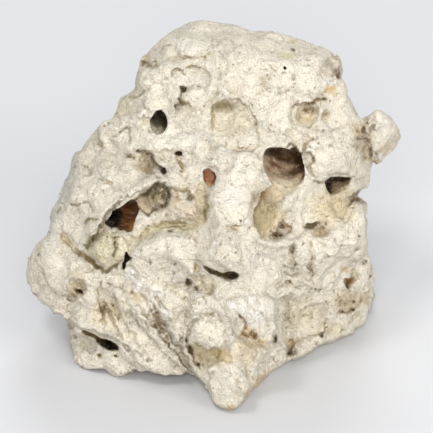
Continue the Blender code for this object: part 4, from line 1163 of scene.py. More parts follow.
c3, c7, c15 = closeness(2.5), closeness(6.0), closeness(14.0)
G = [sample(upsample(band_noise(CN, COARSE, s, seed)), P) for s, seed in ((38, 51), (20, 52), (12, 53))]
fine = band_noise((T, T, T), VOX, 3.4, 54)
fi = ((P - LO) / VOX).astype(int) % T
F = fine[fi[:, 0], fi[:, 1], fi[:, 2]]
# a random cream-to-grey tone, greyer on faces that turn downwards: painted shade
mix = ramp(G[0] * 0.6 + G[1] * 0.6 + NRM[:, 2] * -0.4, -1.2, 1.4)[:, None]
col = CREAM * (1 - mix * 0.30) + GREY * mix * 0.30
# lighter on open faces that turn upwards: painted light, with random patches
open_top_light = ramp(NRM[:, 2] * 0.7 + G[1] * 0.35 - c7 * 0.8, 0.2, 1.1)[:, None] * 0.32
col = col * (1 - open_top_light) + PALE * open_top_light
# olive tan in creases and recesses: crevice grime, and painted shade where they are shut in
grime_and_crease_shade = ramp(c7 * 0.6 + c3 * 1.1 + G[1] * 0.10 + F * 0.08, 0.45, 1.20)[:, None] * 0.58
col = col * (1 - grime_and_crease_shade) + (OLIVE * 0.5 + TAN * 0.5) * grime_and_crease_shade
# brown far into the hollows: painted shade, with amber staining
deep = ramp(c15 + 0.5 * c7 + G[2] * 0.1, 1.15, 1.75)[:, None] * 0.6
col = col * (1 - deep) + (BROWN * 0.7 + TAN * 0.3) * deep
# tan on faces that turn downwards: painted shade
under = ramp(-NRM[:, 2], 0.2, 0.9)[:, None] * 0.35
col = col * (1 - under) + TAN * under
# lighter on proud edges: wear, and painted highlight
proud = np.clip(1 + sample(S, P - NRM * 2.2) / 2.2, 0, 1)
worn = ramp(proud - 0.3 * c7 + 0.05 * F, 0.12, 0.55)[:, None] * 0.24
col = col * (1 - worn) + srgb(250, 246, 236) * worn
# faces that turn upwards are made up to 12 % darker: painted shade against the light from above; everything is made a
# touch bluer
col = col * (1 - 0.12 * ramp(NRM[:, 2], 0.35, 0.95))[:, None] * np.array([1.0, 1.0, 1.02])

# the stains of the face, laid on from the picture plane, with painted shade in its grooves, pits, bowls and crevices
# and on the left flank, and painted light on one upward shelf
class Paint(Sheet):
    def __init__(self):
        super().__init__(4)
        self.grain = 0.5 * WOBBLE[2] + 0.9 * band_noise((SN, SN), 1 / SHEET, 2.6, 77)

    def over(self, s, w, colour):
        w = np.clip(w * (1 + 0.30 * self.grain[s]), 0, 1)[..., None]
        self.a[s][..., :3] = self.a[s][..., :3] * (1 - w) + srgb(*colour) * w
        self.a[s][..., 3:] = self.a[s][..., 3:] * (1 - w) + w

    def dab(self, u0, v0, ru, rv, colour, strength, turn=0.0, soft=0.55):
        s, x, y = self.oval(u0, v0, ru, rv, turn, 1.8)
        self.over(s, strength * (1 - ramp(np.hypot(x, y), 1 - soft, 1 + soft)), colour)

    def stroke(self, points, width, colour, strength):
        s, d, e, *_ = self.line_weight(points, width, reach=2.4)
        self.over(s, strength * e * np.exp(-d * d), colour)

    def patch(self, outline, colour, strength, soft=1.5):
        m = curve(outline, closed=True, gap=1.5)
        s, u, v = self.window(m[:, 0].min() - 5, m[:, 0].max() + 5, m[:, 1].min() - 5, m[:, 1].max() + 5)
        self.over(s, strength * (1 - ramp(polygon_distance(m, u, v), -soft, soft)), colour)


WHITE_S, CREAM_S, TAN_S, OLIVE_S = (252, 249, 243), (238, 228, 206), (204, 180, 138), (176, 156, 106)
BROWN_S, DARK_S, BLACK_S, YELLOW_S = (128, 90, 52), (84, 62, 40), (26, 19, 13), (226, 208, 156)
# Dabs on the walls of the holes: the darkest ones are painted shade, the amber, tan and cream ones the colours of the
# walls and floors.
WALLS = [
    # round cave and red hole
    (158, 122, 12, 14, (104, 92, 68), 0.9), (160, 116, 8, 5, (44, 36, 24), 0.95), (165, 123, 3, 9, (60, 50, 34), 0.95),
    (155, 130, 6, 4.5, (186, 176, 152), 0.85), (209, 178, 9, 10, (188, 130, 96), 0.95), (215, 177, 2.2, 8, (104, 66, 46), 0.85),
    (206, 184.5, 3, 2.6, (238, 204, 154), 0.8), (163.5, 171.5, 5, 4, BLACK_S, 0.9),
    # left cave
    (126, 218, 16, 18, (146, 92, 44), 0.95), (134, 224, 5, 8, (190, 134, 78), 0.8), (130, 205, 9, 5, (92, 58, 30), 0.85),
    (125, 229, 5, 5, (98, 62, 32), 0.8), (110, 221, 11, 15, (10, 8, 6), 0.98), (118, 214, 5, 6, (30, 20, 12), 0.9),
    # low cave
    (92, 339, 14, 9, (150, 124, 74), 0.9), (109, 346, 11, 8, (12, 9, 6), 0.98), (98, 341, 4, 3, (72, 56, 34), 0.8),
    # main cave
    (284, 170, 26, 30, (206, 176, 142), 0.9), (285, 153.5, 27, 9, (76, 50, 28), 0.97, 17), (300, 161, 6, 10, (60, 40, 24), 0.95),
    (272, 160, 7, 2.0, (232, 212, 184), 0.7, 20), (276, 165, 9, 2.0, (140, 92, 64), 0.8, 30), (296, 171.5, 9, 2.4, (96, 62, 38), 0.85, -8),
    (284, 168.5, 8, 1.6, (230, 200, 166), 0.75, -14), (268, 169, 3, 3.0, (150, 104, 74), 0.7), (282, 176, 10, 1.4, (150, 112, 80), 0.7, 12),
    (276, 173, 6, 1.6, (236, 216, 184), 0.7, 20), (286, 190, 20, 12, (240, 226, 196), 0.9),
    (304, 168, 2.6, 14, (84, 60, 40), 0.85), (303, 187, 3, 7, (150, 124, 88), 0.7),
    # second cave
    (264, 214, 16, 26, (214, 196, 158), 0.8), (254, 202, 7, 9, (172, 148, 108), 0.8, 30), (257, 194, 9, 5, (126, 98, 62), 0.85, -30),
    (264, 194, 5, 5, (182, 152, 110), 0.7), (252.5, 214, 3.0, 12, (190, 170, 132), 0.7),
    (281.5, 227, 5, 4, (96, 66, 36), 0.95), (279, 235, 9, 5.5, (138, 114, 74), 0.9), (280, 232.5, 5, 1.3, (70, 50, 30), 0.85),
    (276, 237, 4, 1.3, (84, 64, 40), 0.8), (284, 233, 1.4, 4, (80, 60, 38), 0.7),
    # right cave and box hollow
    (338, 185, 18, 12, (170, 142, 100), 0.8), (328.5, 186, 4, 9, (36, 26, 16), 0.95), (339, 179, 14, 3.4, (58, 42, 26), 0.95),
    (345, 191, 9, 4.5, (226, 208, 170), 0.9), (350, 285, 9, 7, (190, 158, 108), 0.9), (346.5, 285, 2.6, 7, (92, 64, 36), 0.9), (354, 286, 4.5, 4.5, (216, 188, 142), 0.8),
    (351, 280, 7, 2, (120, 88, 54), 0.8),
    # slits and small holes
    (125, 264, 8, 14, (10, 8, 6), 0.97), (79, 294.5, 6, 5, (62, 46, 28), 0.95), (178.5, 154, 5, 5, (70, 52, 32), 0.9),
    (219, 275, 16, 8, (112, 98, 68), 0.9), (234, 279, 6.5, 6, (36, 28, 18), 0.97), (226, 275, 8, 1.8, (60, 48, 30), 0.8, 12),
    (312, 226, 10, 6, (148, 132, 100), 0.85), (311, 224.5, 7, 1.4, (78, 62, 40), 0.85), (122.5, 272, 3, 4, (84, 76, 48), 0.85),
    (183, 90.5, 6, 5, (84, 66, 40), 0.9), (339, 74, 7, 9, (96, 70, 48), 0.85), (284.5, 68.3, 3, 3, (14, 10, 8), 0.97),
]
paint = Paint()
# painted shade: a grey band down the left flank, which turns away from the light
paint.stroke([(80, 155), (71, 174), (65, 192), (56, 212), (48, 234)], 6, (188, 187, 182), 0.55)
for points in STREAKS:
    paint.stroke(points, 1.0, (168, 156, 130), 0.5)
# dark strokes along the valleys are painted shade; the faint white strokes on raised ridges are painted highlight
for points, width, depth_ in LINES:
    if depth_ < 0:
        paint.stroke(points, max(0.8, 0.55 * width), (128, 106, 72), min(0.75, 0.55 * -depth_))
    else:
        paint.stroke(points, 0.9 * width, (253, 250, 244), 0.15)
# dark dabs in the pits: painted shade
for u0, v0, r, d in PITS:
    paint.dab(u0, v0, 0.8 * r, 0.8 * r, (92, 72, 46), 0.75)
# dark dabs in pits, crevices, bowls and below rims are painted shade; the rest are stains
for u0, v0, ru, rv, colour, strength, *turn in [
    # upper left
    (146.5, 57, 5, 4, YELLOW_S, 0.7), (125, 106, 7, 8, (204, 196, 156), 0.5), (116, 115, 3, 3, (150, 130, 96), 0.5),
    (189, 46, 12, 8, WHITE_S, 0.35), (183.5, 90.3, 3.4, 2.2, (84, 66, 42), 0.85),
    (181.5, 100, 3.2, 5, (140, 118, 80), 0.7), (185, 103.5, 4, 2, (120, 98, 66), 0.6), (184, 112, 8, 7, (222, 210, 180), 0.5),
    
    (165, 70, 3, 4, TAN_S, 0.3),
    # crown bowl: a dark crescent of painted shade below its upper rim
    (224, 107, 11.5, 4.8, (122, 102, 62), 0.9), (231, 104.5, 5, 3, (104, 84, 50), 0.6), (214, 115, 2, 8, (176, 156, 112), 0.6), (212.5, 122, 2.5, 9, TAN_S, 0.5),
    (232, 124, 17, 18, (232, 220, 192), 0.4), (240, 128, 4, 9, (214, 196, 160), 0.3),
    # top right
    (331, 89.5, 5.5, 5, (240, 208, 154), 0.6), (332, 89, 3, 2, (236, 186, 116), 0.6), (330, 81, 7, 4, WHITE_S, 0.7),
    (339, 74, 4.5, 7, (104, 74, 52), 0.6), (327, 69, 8, 10, (206, 192, 174), 0.4), (288, 55, 9, 3, (214, 206, 150), 0.5),
    (292, 41, 5, 2, (200, 186, 130), 0.5), (307, 63, 4, 2, WHITE_S, 0.4), (341, 62, 2.5, 3, (150, 120, 100), 0.4),
    # shoulder bowls: painted shade below their upper rims
    (309, 110.5, 8, 3.2, (134, 110, 70), 0.8), (299, 117, 3.2, 6, OLIVE_S, 0.6), (308, 120, 7, 6, (232, 210, 168), 0.6),
    (326, 113.5, 5, 1.8, (150, 128, 88), 0.6), (327, 119, 3.5, 4, (230, 214, 180), 0.4), (311, 103.5, 3, 1.3, DARK_S, 0.5),
    # knob and neck
    (362, 138, 9, 13, (214, 192, 154), 0.5), (357, 130, 5, 6, (214, 190, 146), 0.4), (366, 154, 5, 8, (204, 180, 140), 0.45),
    (372, 158, 6, 4, (190, 162, 122), 0.45), (376, 165, 3.2, 2.6, (128, 92, 60), 0.8), (378, 157, 2.2, 2, WHITE_S, 0.8),
    (384, 148, 5, 7, (206, 182, 142), 0.4), (397, 141, 5, 11, (206, 194, 172), 0.6, 25), (384, 124, 9, 9, WHITE_S, 0.25),
    (369, 150, 2, 7, DARK_S, 0.3),
    # upper left crevices
    (139, 151, 3.5, 1.8, DARK_S, 0.6), (146, 161, 9, 9, (160, 140, 100), 0.6), (152, 167, 6, 5, (120, 98, 66), 0.5),
    (146, 170, 7, 3, OLIVE_S, 0.6), (178.5, 154, 3.8, 2.8, (96, 72, 42), 0.65), (131, 155, 5, 2, (160, 140, 104), 0.4),
    # left cave, the channel and the red hole
    
     (153, 198, 17, 10, (176, 158, 118), 0.8, -28), (160, 190, 8, 5, (112, 98, 68), 0.7, -20), (166, 197, 3, 6, (96, 84, 58), 0.7),
    (146, 203, 6, 3.5, (224, 208, 174), 0.85, -10), (156, 197, 3, 3, (214, 198, 160), 0.6), (138, 205, 4, 4, (190, 150, 100), 0.6),
    (191, 198, 4.2, 3.6, (112, 88, 56), 0.85), (177, 197, 2.2, 6.5, (230, 208, 168), 0.6), (184, 188, 8, 4, (214, 190, 146), 0.4),
    
    (205.5, 214, 3, 9, (122, 102, 58), 0.7), (188.5, 212, 10, 6.5, (230, 204, 176), 0.55), (176, 204, 8, 5, (214, 192, 150), 0.4),
    (168, 212, 9, 5, (220, 202, 164), 0.4),
    # left lower
    (108, 250, 19, 18, (230, 219, 178), 0.6), (98, 258, 6, 4, (206, 190, 142), 0.5),  (66, 241, 6, 7, (212, 192, 142), 0.45),
    (75, 275, 7, 4, (208, 188, 140), 0.45), (77, 288, 9, 10, (208, 186, 144), 0.6), 
    (110, 284, 4, 3.2, (120, 98, 66), 0.6), (106, 313, 15, 13, (224, 204, 164), 0.55), (36, 297, 2.2, 3.4, BROWN_S, 0.65),
    # the grey dab at (50, 225) is painted shade on the left flank
    (39, 253.5, 1.6, 1.4, DARK_S, 0.7), (60, 318, 12, 6, (196, 184, 164), 0.4), (50, 225, 7, 26, (206, 204, 198), 0.4),
    (112, 214, 9, 12, (206, 202, 192), 0.35), (88, 342, 12, 6, (206, 192, 160), 0.4),
     (109, 336.5, 6, 2.4, (200, 196, 186), 0.6),
    (99.5, 355, 2.4, 3, (150, 126, 88), 0.6), (138, 296, 8, 6, (196, 168, 124), 0.5), (158, 320, 6, 12, (206, 186, 152), 0.4, -24),
    # centre
     (211.5, 289.5, 2.8, 6, (140, 112, 56), 0.75), (197, 293, 8, 4.5, (194, 192, 188), 0.5),
    (188.5, 282.5, 2.4, 2.8, (70, 56, 38), 0.7), (197.5, 288.5, 2.2, 2, (80, 70, 60), 0.6), (204, 297, 1.6, 1.6, (110, 86, 50), 0.6),
    (206, 284, 12, 8, (224, 210, 172), 0.4), (214, 258, 12, 12, (222, 212, 192), 0.3),
    # the large caves: painted shade in the upper left of the second cave and in its pits
    
    
     (257, 199, 6.5, 6.5, (166, 136, 92), 0.7), (268, 218, 15, 17, (222, 202, 158), 0.7),
    (282, 226.5, 3, 3.2, (116, 88, 54), 0.7), (277, 235, 6.5, 3, (84, 64, 40), 0.75), (246, 222, 2, 1.4, WHITE_S, 0.7),
    (241.5, 221, 2, 1.6, DARK_S, 0.7), (250, 227, 1.6, 1.3, DARK_S, 0.6), (254, 219.5, 1, 1, DARK_S, 0.6),
    # right
    
    (344, 191, 9, 4, (224, 206, 166), 0.6), (357.5, 199, 2.6, 2.4, DARK_S, 0.75), (363, 202, 4, 2.2, (150, 118, 82), 0.6),
    (332, 208, 21, 16, (228, 210, 166), 0.65), (312, 227, 7.5, 3.2, (92, 72, 46), 0.75), (322, 231, 6.5, 9, (190, 166, 120), 0.6),
    (345, 269, 4, 3, (212, 184, 122), 0.6), 
    (346, 301, 13, 11, (216, 194, 150), 0.55), (365, 298, 4.5, 7, (190, 160, 112), 0.5), (291, 342, 3.2, 4, (128, 96, 60), 0.6),
    (300, 312, 14, 16, (230, 216, 182), 0.45), (330, 330, 16, 8, (228, 214, 180), 0.35), (296, 284, 12, 14, (222, 212, 188), 0.3),
    # the white dab at (186, 140), on the upper band that faces up, is painted light
    (260, 262, 12, 14, WHITE_S, 0.25), (232, 190, 14, 20, WHITE_S, 0.30), (186, 140, 30, 9, WHITE_S, 0.30),
    # lower front
    (211, 356, 20, 8.5, (222, 202, 154), 0.75), (222, 354, 10, 5, (196, 172, 120), 0.6), (194, 350, 4, 6, (206, 184, 134), 0.5),
    (244.5, 335, 2.2, 2.0, (82, 58, 34), 0.9), (246, 327, 2.2, 3.4, (150, 120, 84), 0.7), (254.7, 336, 2.8, 2.0, (92, 62, 36), 0.9),
    (249.5, 334, 1.6, 1.4, (88, 54, 30), 0.9), (248, 333, 8, 6, (206, 172, 122), 0.6), (261, 342, 6, 3.4, (218, 190, 138), 0.7),
    (258.6, 341.5, 1.3, 1.2, (104, 66, 36), 0.85), (263.7, 342.8, 1.3, 1.2, (116, 74, 40), 0.85), (258, 336, 1.2, 1.0, (120, 80, 46), 0.8),
    (290.5, 341.5, 4.5, 4, (220, 194, 148), 0.6), (288.5, 342, 1.3, 1.2, (130, 82, 46), 0.8), (292.5, 340, 1.3, 1.0, (150, 96, 56), 0.8),
    (275.3, 339, 3.0, 4.5, (120, 102, 76), 0.8), (250, 345, 16, 6, (226, 206, 164), 0.5), (238, 320, 4, 3, (176, 150, 108), 0.5),
    (255, 312, 20, 12, WHITE_S, 0.35), (208, 328, 14, 8, (240, 232, 210), 0.3), (258, 379, 6, 5, (200, 180, 140), 0.4),
    (231, 408.5, 6, 4, (206, 182, 128), 0.6), (222, 386, 12, 14, (236, 230, 218), 0.4), (246, 356, 12, 10, (216, 200, 162), 0.4),
]:
    paint.dab(u0, v0, ru, rv, colour, strength, *turn)
paint.patch([(199, 181), (205, 184), (207, 195), (207.5, 208), (206, 219), (202, 225), (196, 230), (186, 231), (176, 229),
             (164, 228), (154, 232), (145, 239), (137, 243), (134, 240), (142, 233), (150, 226), (160, 221), (172, 222),
             (184, 222), (194, 220), (198, 213), (197, 203), (195, 196), (197, 188)], (214, 200, 154), 0.62, 4.5)
# dark strokes along grooves, bowl rims, hollows and the prow's right edge are painted shade; the light tan strokes are
# stains
for points, width, colour, strength in [
    ([(140, 64), (147, 63), (152, 67), (158, 62)], 2.4, (150, 126, 86), 0.6),
    ([(130, 98), (140, 94), (150, 89)], 1.6, (176, 160, 120), 0.5),
    ([(171, 77), (172.5, 71), (177.2, 68.3), (181.5, 70.6), (184.9, 75)], 1.2, (150, 136, 100), 0.7),
    ([(186.5, 69), (191.3, 66.2), (200.3, 66.8), (206.7, 71.8), (210.3, 78.5)], 1.2, (164, 150, 116), 0.65),
    ([(185, 88.5), (190, 87.7), (196.4, 86.2), (201.5, 87.6)], 1.0, (120, 104, 72), 0.7),
    ([(181, 91), (179.5, 97), (179.5, 103), (176, 106), (177, 111)], 1.4, (112, 98, 64), 0.75),
    ([(180, 103), (185, 105), (189, 103), (190.5, 107)], 1.2, (128, 112, 78), 0.7),
    ([(285, 146.5), (292.5, 144), (297, 149), (301.5, 153), (305, 152), (309, 152.8), (313, 157), (314, 163)], 1.0, (120, 108, 86), 0.65),
    ([(92, 236), (89, 242), (87.5, 249)], 1.8, (134, 122, 78), 0.8),
    ([(114.5, 240), (115, 247), (115, 252), (113, 257)], 1.5, (134, 122, 74), 0.8),
    ([(111, 238), (115, 237), (119, 238.5)], 1.3, (140, 128, 80), 0.7),
    ([(83.7, 255.8), (93.3, 262), (102.3, 270), (105, 271), (113.8, 266.7), (122.8, 259)], 1.2, (124, 110, 70), 0.8),
    ([(134, 201), (140, 196), (147, 193), (151, 188), (156, 185), (161, 184), (166, 188), (168.5, 193), (168.5, 199),
      (165, 205), (159, 207), (155, 208)], 1.9, (98, 86, 58), 0.85),
    ([(152, 200), (155, 195), (160, 192), (164, 194), (163, 199), (159, 200)], 1.2, (112, 98, 66), 0.75),
    ([(155, 208), (152, 212), (148, 214.5), (143, 212), (139, 208)], 1.6, (116, 96, 60), 0.8),
    ([(177, 190), (178, 196), (177.5, 202)], 1.3, (150, 124, 80), 0.7),
    ([(205, 192), (206.2, 206), (205.5, 214), (202, 222)], 2.8, (134, 118, 76), 0.8),
    ([(152, 227), (160, 224), (170, 224), (180, 225)], 3.6, (184, 174, 126), 0.6),
    ([(110, 138), (115, 136.5), (122, 130), (129, 127)], 1.2, DARK_S, 0.5),
    ([(129.3, 128), (129.3, 136), (129, 143)], 1.2, (130, 110, 80), 0.5),
    ([(136, 150), (143, 152.5), (150, 155), (154, 160), (157, 165), (161, 169)], 1.8, (106, 84, 54), 0.7),
    ([(124, 152), (128, 156), (136, 158)], 1.3, (130, 108, 74), 0.6),
    ([(179, 156), (180, 163), (183, 173)], 1.8, (196, 172, 124), 0.6),
    ([(170, 187), (180, 190.5), (190, 193)], 1.3, (140, 112, 74), 0.6),
    ([(100, 229), (104, 220), (108, 212.5), (115, 205), (122, 200.5)], 1.5, (150, 138, 116), 0.6),
    ([(100, 229), (95, 237), (89, 244), (86, 250)], 1.7, (160, 144, 110), 0.6),
    ([(75, 249), (80, 254), (88, 259), (93, 262), (100, 268.5)], 1.4, (150, 128, 86), 0.6),
    ([(102, 271), (108, 270), (117, 266)], 1.3, (140, 120, 84), 0.6),
    ([(155, 310), (159, 320), (164, 333)], 3.4, (196, 174, 138), 0.5),
    ([(206, 269), (216, 273.5), (226, 277.5), (234, 279)], 1.8, (66, 50, 34), 0.8),
    ([(228, 236), (231, 240.5)], 1.2, DARK_S, 0.6),
    ([(356, 137), (362, 139.5), (368, 140)], 1.3, DARK_S, 0.6),
    ([(236.8, 314.6), (242, 318.5), (245.8, 324.9), (244.5, 331)], 0.9, (110, 80, 50), 0.75),
    ([(243, 331), (246, 336), (250, 334), (256, 336.5)], 1.4, (112, 80, 48), 0.8),
    ([(256, 338), (260, 341), (264, 343)], 1.4, (190, 144, 88), 0.7),
    ([(243, 403), (252, 390), (262, 378), (270, 369)], 2.6, (200, 166, 116), 0.65),
    ([(290, 110), (295, 106), (300, 104), (311, 103), (318, 99.5), (327, 98)], 1.3, (120, 102, 72), 0.6),
    ([(240, 112), (247, 118), (253, 127), (259, 130), (260, 137), (258, 147)], 1.2, (196, 180, 146), 0.5),
    ([(313, 181.5), (320, 182.5), (328, 179.5)], 1.1, (120, 96, 66), 0.6),
    ([(353, 196.5), (358, 192), (364, 188)], 1.2, (150, 124, 88), 0.5),
    ([(193, 343), (200, 346.5), (208, 350)], 1.2, (170, 148, 104), 0.6),
    ([(189, 343), (190.5, 350), (193, 358)], 1.5, (176, 154, 110), 0.6),
    ([(80, 166), (86, 167), (91, 172), (90, 176)], 1.1, (150, 132, 100), 0.5),
    ([(70, 203.3), (77.7, 204.6), (82.8, 201.4), (88, 202.7), (92.4, 208.5), (93, 212.3)], 1.0, (150, 138, 110), 0.6),
    ([(84, 221.3), (91, 219.5), (99.5, 216.8)], 1.2, (160, 148, 120), 0.6),
    ([(212, 117), (213.8, 109.5), (218.5, 105), (226, 104), (232.5, 107.5)], 2.4, (150, 138, 102), 0.75),
    ([(211.7, 119), (212, 126), (214.5, 133)], 1.3, (184, 173, 142), 0.65),
]:
    paint.stroke(points, width, colour, strength)
rng = np.random.default_rng(9)
for u0, v0, ru, rv, count, colour, size in [
    (130, 274, 5, 6, 40, (255, 251, 243), 1.2), (138, 285, 6, 7, 46, (255, 251, 243), 1.2), (155, 291, 9, 4, 26, (252, 247, 238), 1.1), (167, 314, 3, 4, 12, (255, 251, 243), 1.2), (252, 306, 24, 12, 30, WHITE_S, 1.8), (160, 305, 12, 16, 14, WHITE_S, 1.4),
    (346, 301, 13, 11, 26, (140, 112, 74), 1.0), (77, 288, 9, 9, 16, (140, 116, 80), 1.0), (362, 142, 9, 18, 26, (140, 108, 70), 1.2),
    (268, 218, 14, 16, 30, (160, 132, 90), 0.8), (332, 210, 20, 14, 26, (170, 142, 98), 0.8), (106, 313, 14, 12, 14, (150, 128, 92), 0.9),
    (250, 334, 9, 8, 18, (150, 112, 72), 1.0), (210, 356, 18, 7, 16, (176, 150, 104), 0.9), (330, 90, 7, 6, 12, (222, 164, 92), 0.9),
    (220, 200, 150, 150, 130, (132, 112, 82), 0.8), (200, 300, 130, 90, 90, (132, 112, 82), 0.8),
]:
    for _ in range(count):
        a, r = rng.uniform(0, 2 * math.pi), math.sqrt(rng.uniform(0, 1))
        z = size * rng.uniform(0.6, 1.4)
        paint.dab(u0 + ru * r * math.cos(a), v0 + rv * r * math.sin(a), z, z * rng.uniform(0.6, 1.3), colour, rng.uniform(0.4, 0.85), rng.uniform(0, 90))

layer = paint.read(PU, PV)
strength = np.maximum(plain, seen * ramp(-sample(UNCUT, P), 0.5, 1.8))[:, None]
cover = layer[:, 3:] * strength
col = col * (1 - cover) + layer[:, :3] * strength

# painted shade on the walls of the holes, with their own colours, from their mouths inwards
walls = Paint()
walls.grain = 0.25 * walls.grain
for u0, v0, ru, rv, colour, strength, *turn in WALLS:
    walls.dab(u0, v0, ru, rv, colour, strength, *turn, soft=0.35)
layer = walls.read(PU, PV)
strength = (seen * ramp(-sample(UNCUT, P), 0.5, 1.8))[:, None]
wall_cover = layer[:, 3:] * strength
col = col * (1 - wall_cover) + layer[:, :3] * strength
cover = np.maximum(cover, wall_cover)

# painted shade, amber brown, far into the caves, where no stain was laid
for name, centre, reach, way, size in CAVES_SEEN:
    if name in ("slit", "ledge_gap", "pit_284_68", "corner_slot", "crack_pit"):
        continue
    d = P - centre
    t = d @ way
    off = np.linalg.norm(d - t[:, None] * way, axis=1)
    w = ramp(t, 1.0, 8.0) * (1 - ramp(off, size * 1.5 + 2, size * 2.1 + 4)) * (t < reach * 1.4) * ramp(c15, 0.9, 1.4)
    w = (w * (0.75 + 0.15 * F) * (1 - cover[:, 0]))[:, None]
    col = col * (1 - w) + srgb(164, 126, 84) * w

tint = np.concatenate([np.clip(col, 0, 1), np.ones((n, 1))], 1).astype(np.float32)
attr = mesh.attributes.new("tint", "FLOAT_COLOR", "POINT")
attr.data.foreach_set("color", tint.reshape(-1))
coarse = np.where(seen > 0.3, 0.55 + 0.75 * (rough.read(PU, PV)[:, 0] - 0.3), 1.0)
attr = mesh.attributes.new("rough", "FLOAT", "POINT")
attr.data.foreach_set("value", np.clip(coarse, 0.3, 1.3).astype(np.float32))
say("coloured")


# -------------------------------------------------------------------- material
def stone_material():
    mat = bpy.data.materials.new("limestone")
    mat.use_nodes = True
    nt = mat.node_tree
    nodes, links = nt.nodes, nt.links
    shader = nodes["Principled BSDF"]
    shader.inputs["Roughness"].default_value = 0.92
    shader.inputs["Specular IOR Level"].default_value = 0.05
    at_ = nodes.new("ShaderNodeAttribute")
    at_.attribute_name = "tint"
    coords = nodes.new("ShaderNodeTexCoord")

    def noise(scale, detail=4.0, rough=0.6, distortion=0.0):
        t = nodes.new("ShaderNodeTexNoise")
        t.inputs["Scale"].default_value = scale
        t.inputs["Detail"].default_value = detail
        t.inputs["Roughness"].default_value = rough
        t.inputs["Distortion"].default_value = distortion
        links.new(coords.outputs["Object"], t.inputs["Vector"])
        return t.outputs["Fac"]

    def math_(op, a, b):
        m = nodes.new("ShaderNodeMath")
        m.operation = op
        for socket, value in zip(m.inputs, (a, b)):
            if isinstance(value, (int, float)):
                socket.default_value = value
            else:
                links.new(value, socket)
        return m.outputs[0]

    def mixer(fac, a, b, blend="MIX"):
        m = nodes.new("ShaderNodeMix")
        m.data_type = "RGBA"
        m.blend_type = blend
        if isinstance(fac, (int, float)):
            m.inputs["Factor"].default_value = fac
        else:
            links.new(fac, m.inputs["Factor"])
        for socket, value in (("A", a), ("B", b)):
            s = [x for x in m.inputs if x.name == socket and x.type == "RGBA"][0]
            if isinstance(value, tuple):
                s.default_value = value
            else:
                links.new(value, s)
        return [x for x in m.outputs if x.type == "RGBA"][0]

    def ranged(value, a, b, lo=0.0, hi=1.0):
        m = nodes.new("ShaderNodeMapRange")
        m.inputs["From Min"].default_value = a
        m.inputs["From Max"].default_value = b
        m.inputs["To Min"].default_value = lo
        m.inputs["To Max"].default_value = hi
        links.new(value, m.inputs["Value"])
        return m.outputs[0]

    def grey(v):
        return (v, v, v, 1.0)

    grain = noise(1000.0, 6.0, 0.74)
    crumb = noise(330.0, 6.0, 0.68)
    blotch = noise(170.0, 4.0, 0.6)
    colour = mixer(ranged(blotch, 0.48, 0.70, 0.0, 0.12), at_.outputs["Color"], (0.60, 0.52, 0.38, 1.0))
    dust = noise(1900.0, 2.0, 0.6)
    shade = mixer(1.0, grey(0.84), grey(1.14))
    links.new(ranged(dust, 0.34, 0.66), nodes[shade.node.name].inputs["Factor"])
    colour = mixer(1.0, colour, shade, "MULTIPLY")
    shade = mixer(1.0, grey(0.82), grey(1.10))
    links.new(ranged(grain, 0.32, 0.68), nodes[shade.node.name].inputs["Factor"])
    colour = mixer(1.0, colour, shade, "MULTIPLY")

    # fine cracks that run between small flakes, and dark specks in the pores
    bend = nodes.new("ShaderNodeTexNoise")
    bend.inputs["Scale"].default_value = 300.0
    bend.inputs["Detail"].default_value = 3.0
    links.new(coords.outputs["Object"], bend.inputs["Vector"])
    push = nodes.new("ShaderNodeVectorMath")
    push.operation = "MULTIPLY_ADD"
    links.new(bend.outputs["Color"], push.inputs[0])
    push.inputs[1].default_value = (0.006, 0.006, 0.006)
    links.new(coords.outputs["Object"], push.inputs[2])

    def cells_(scale, feature):
        t = nodes.new("ShaderNodeTexVoronoi")
        t.feature = feature
        t.inputs["Scale"].default_value = scale
        links.new(push.outputs[0], t.inputs["Vector"])
        return t.outputs["Distance"]

    rough_ = nodes.new("ShaderNodeAttribute")
    rough_.attribute_name = "rough"
    # ledges where a thin skin has flaked away, with a dark line of painted shade at their foot
    skin = noise(105.0, 3.0, 0.55, 0.6)
    ledges = ledge_foot_shade = None
    for level in (0.43, 0.50, 0.57):
        step = ranged(skin, level - 0.008, level + 0.008)
        foot = math_("MULTIPLY", ranged(skin, level - 0.020, level - 0.008), ranged(skin, level - 0.008, level, 1.0, 0.0))
        ledges = step if ledges is None else math_("ADD", ledges, step)
        ledge_foot_shade = foot if ledge_foot_shade is None else math_("ADD", ledge_foot_shade, foot)
    ledge_foot_shade = math_("MULTIPLY", ledge_foot_shade, ranged(noise(60.0, 2.0), 0.46, 0.60))

    crack = math_("MULTIPLY", ranged(cells_(150.0, "DISTANCE_TO_EDGE"), 0.012, 0.05, 1.0, 0.0), ranged(noise(70.0, 2.0), 0.56, 0.66))
    flake = cells_(420.0, "F1")
    speck = math_("MULTIPLY", ranged(cells_(380.0, "F1"), 0.10, 0.26, 1.0, 0.0), ranged(noise(240.0, 2.0), 0.52, 0.64))
    colour = mixer(math_("MULTIPLY", crack, 0.22), colour, (0.30, 0.22, 0.12, 1.0))
    colour = mixer(math_("MULTIPLY", ledge_foot_shade, 0.38), colour, (0.34, 0.26, 0.16, 1.0))
    colour = mixer(math_("MULTIPLY", speck, 0.7), colour, (0.20, 0.14, 0.08, 1.0))
    links.new(colour, shader.inputs["Base Color"])

    height = math_("ADD", math_("MULTIPLY", grain, 0.62), math_("MULTIPLY", crumb, 0.50))
    height = math_("SUBTRACT", height, math_("MULTIPLY", flake, 0.30))
    height = math_("SUBTRACT", height, math_("ADD", math_("MULTIPLY", speck, 0.5), math_("MULTIPLY", crack, 0.15)))
    height = math_("ADD", height, math_("MULTIPLY", ledges, 0.34))
    height = math_("MULTIPLY", height, math_("ADD", rough_.outputs["Fac"], 0.25))
    bump = nodes.new("ShaderNodeBump")
    bump.inputs["Strength"].default_value = 1.0
    bump.inputs["Distance"].default_value = 0.0024
    links.new(height, bump.inputs["Height"])
    links.new(bump.outputs["Normal"], shader.inputs["Normal"])
    return mat


mesh.materials.clear()
mesh.materials.append(stone_material())
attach(rock, "root")
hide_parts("rock")

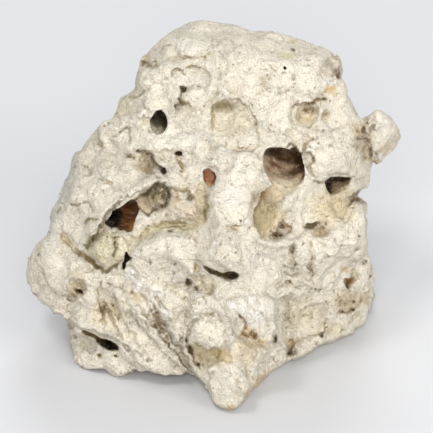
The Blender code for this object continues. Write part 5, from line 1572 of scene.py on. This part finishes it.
# ----------------------------------------------------------------------- stage
bpy.ops.mesh.primitive_plane_add(size=8.0, location=(0, 1.0, -0.0002))
floor = bpy.context.object
floor.name = "floor"
fmat = bpy.data.materials.new("floor")
fmat.use_nodes = True
fs = fmat.node_tree.nodes["Principled BSDF"]
fs.inputs["Base Color"].default_value = (0.585, 0.59, 0.608, 1.0)
fs.inputs["Roughness"].default_value = 0.6
fs.inputs["Specular IOR Level"].default_value = 0.2
floor.data.materials.append(fmat)

world = bpy.data.worlds.new("studio")
bpy.context.scene.world = world
world.use_nodes = True
world.node_tree.nodes["Background"].inputs["Color"].default_value = (0.97, 0.985, 1.0, 1.0)
world.node_tree.nodes["Background"].inputs["Strength"].default_value = 0.52


def area(name, place, aim, size, power, colour=(1, 1, 1)):
    light = bpy.data.lights.new(name, "AREA")
    light.shape = "SQUARE"
    light.size = size
    light.energy = power
    light.color = colour
    obj = bpy.data.objects.new(name, light)
    bpy.context.scene.collection.objects.link(obj)
    obj.location = place
    obj.rotation_euler = (Vector(aim) - Vector(place)).to_track_quat("-Z", "Y").to_euler()
    return obj


area("key", (-0.60, -0.75, 2.00), (0, 0, 0.08), 0.5, 14.0, (1.0, 0.99, 0.97))
area("fill", (1.40, -1.30, 0.95), (0, 0, 0.08), 0.9, 17.5, (1.0, 0.99, 0.97))
area("front", (-0.05, -2.20, 1.35), (0, 0, 0.08), 1.0, 37.0, (1.0, 0.99, 0.97))
area("back", (0.2, 1.9, 1.7), (0, 0.7, 0.0), 1.2, 24.0, (0.98, 0.99, 1.0))

camera = bpy.data.objects.new("camera", bpy.data.cameras.new("camera"))
bpy.context.scene.collection.objects.link(camera)
camera.data.type = "PERSP"
camera.data.sensor_width = 36.0
camera.data.lens = FOCAL * 36.0 / FRAME_PX
camera.data.clip_start = 0.1
camera.data.clip_end = 50.0
camera.location = Vector(CAM / 1000)
camera.rotation_euler = Matrix([ACROSS, UP, -INTO]).transposed().to_euler()
bpy.context.scene.camera = camera
bpy.context.scene.view_settings.view_transform = "Standard"
bpy.context.scene.view_settings.look = "None"

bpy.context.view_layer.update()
say("ready")
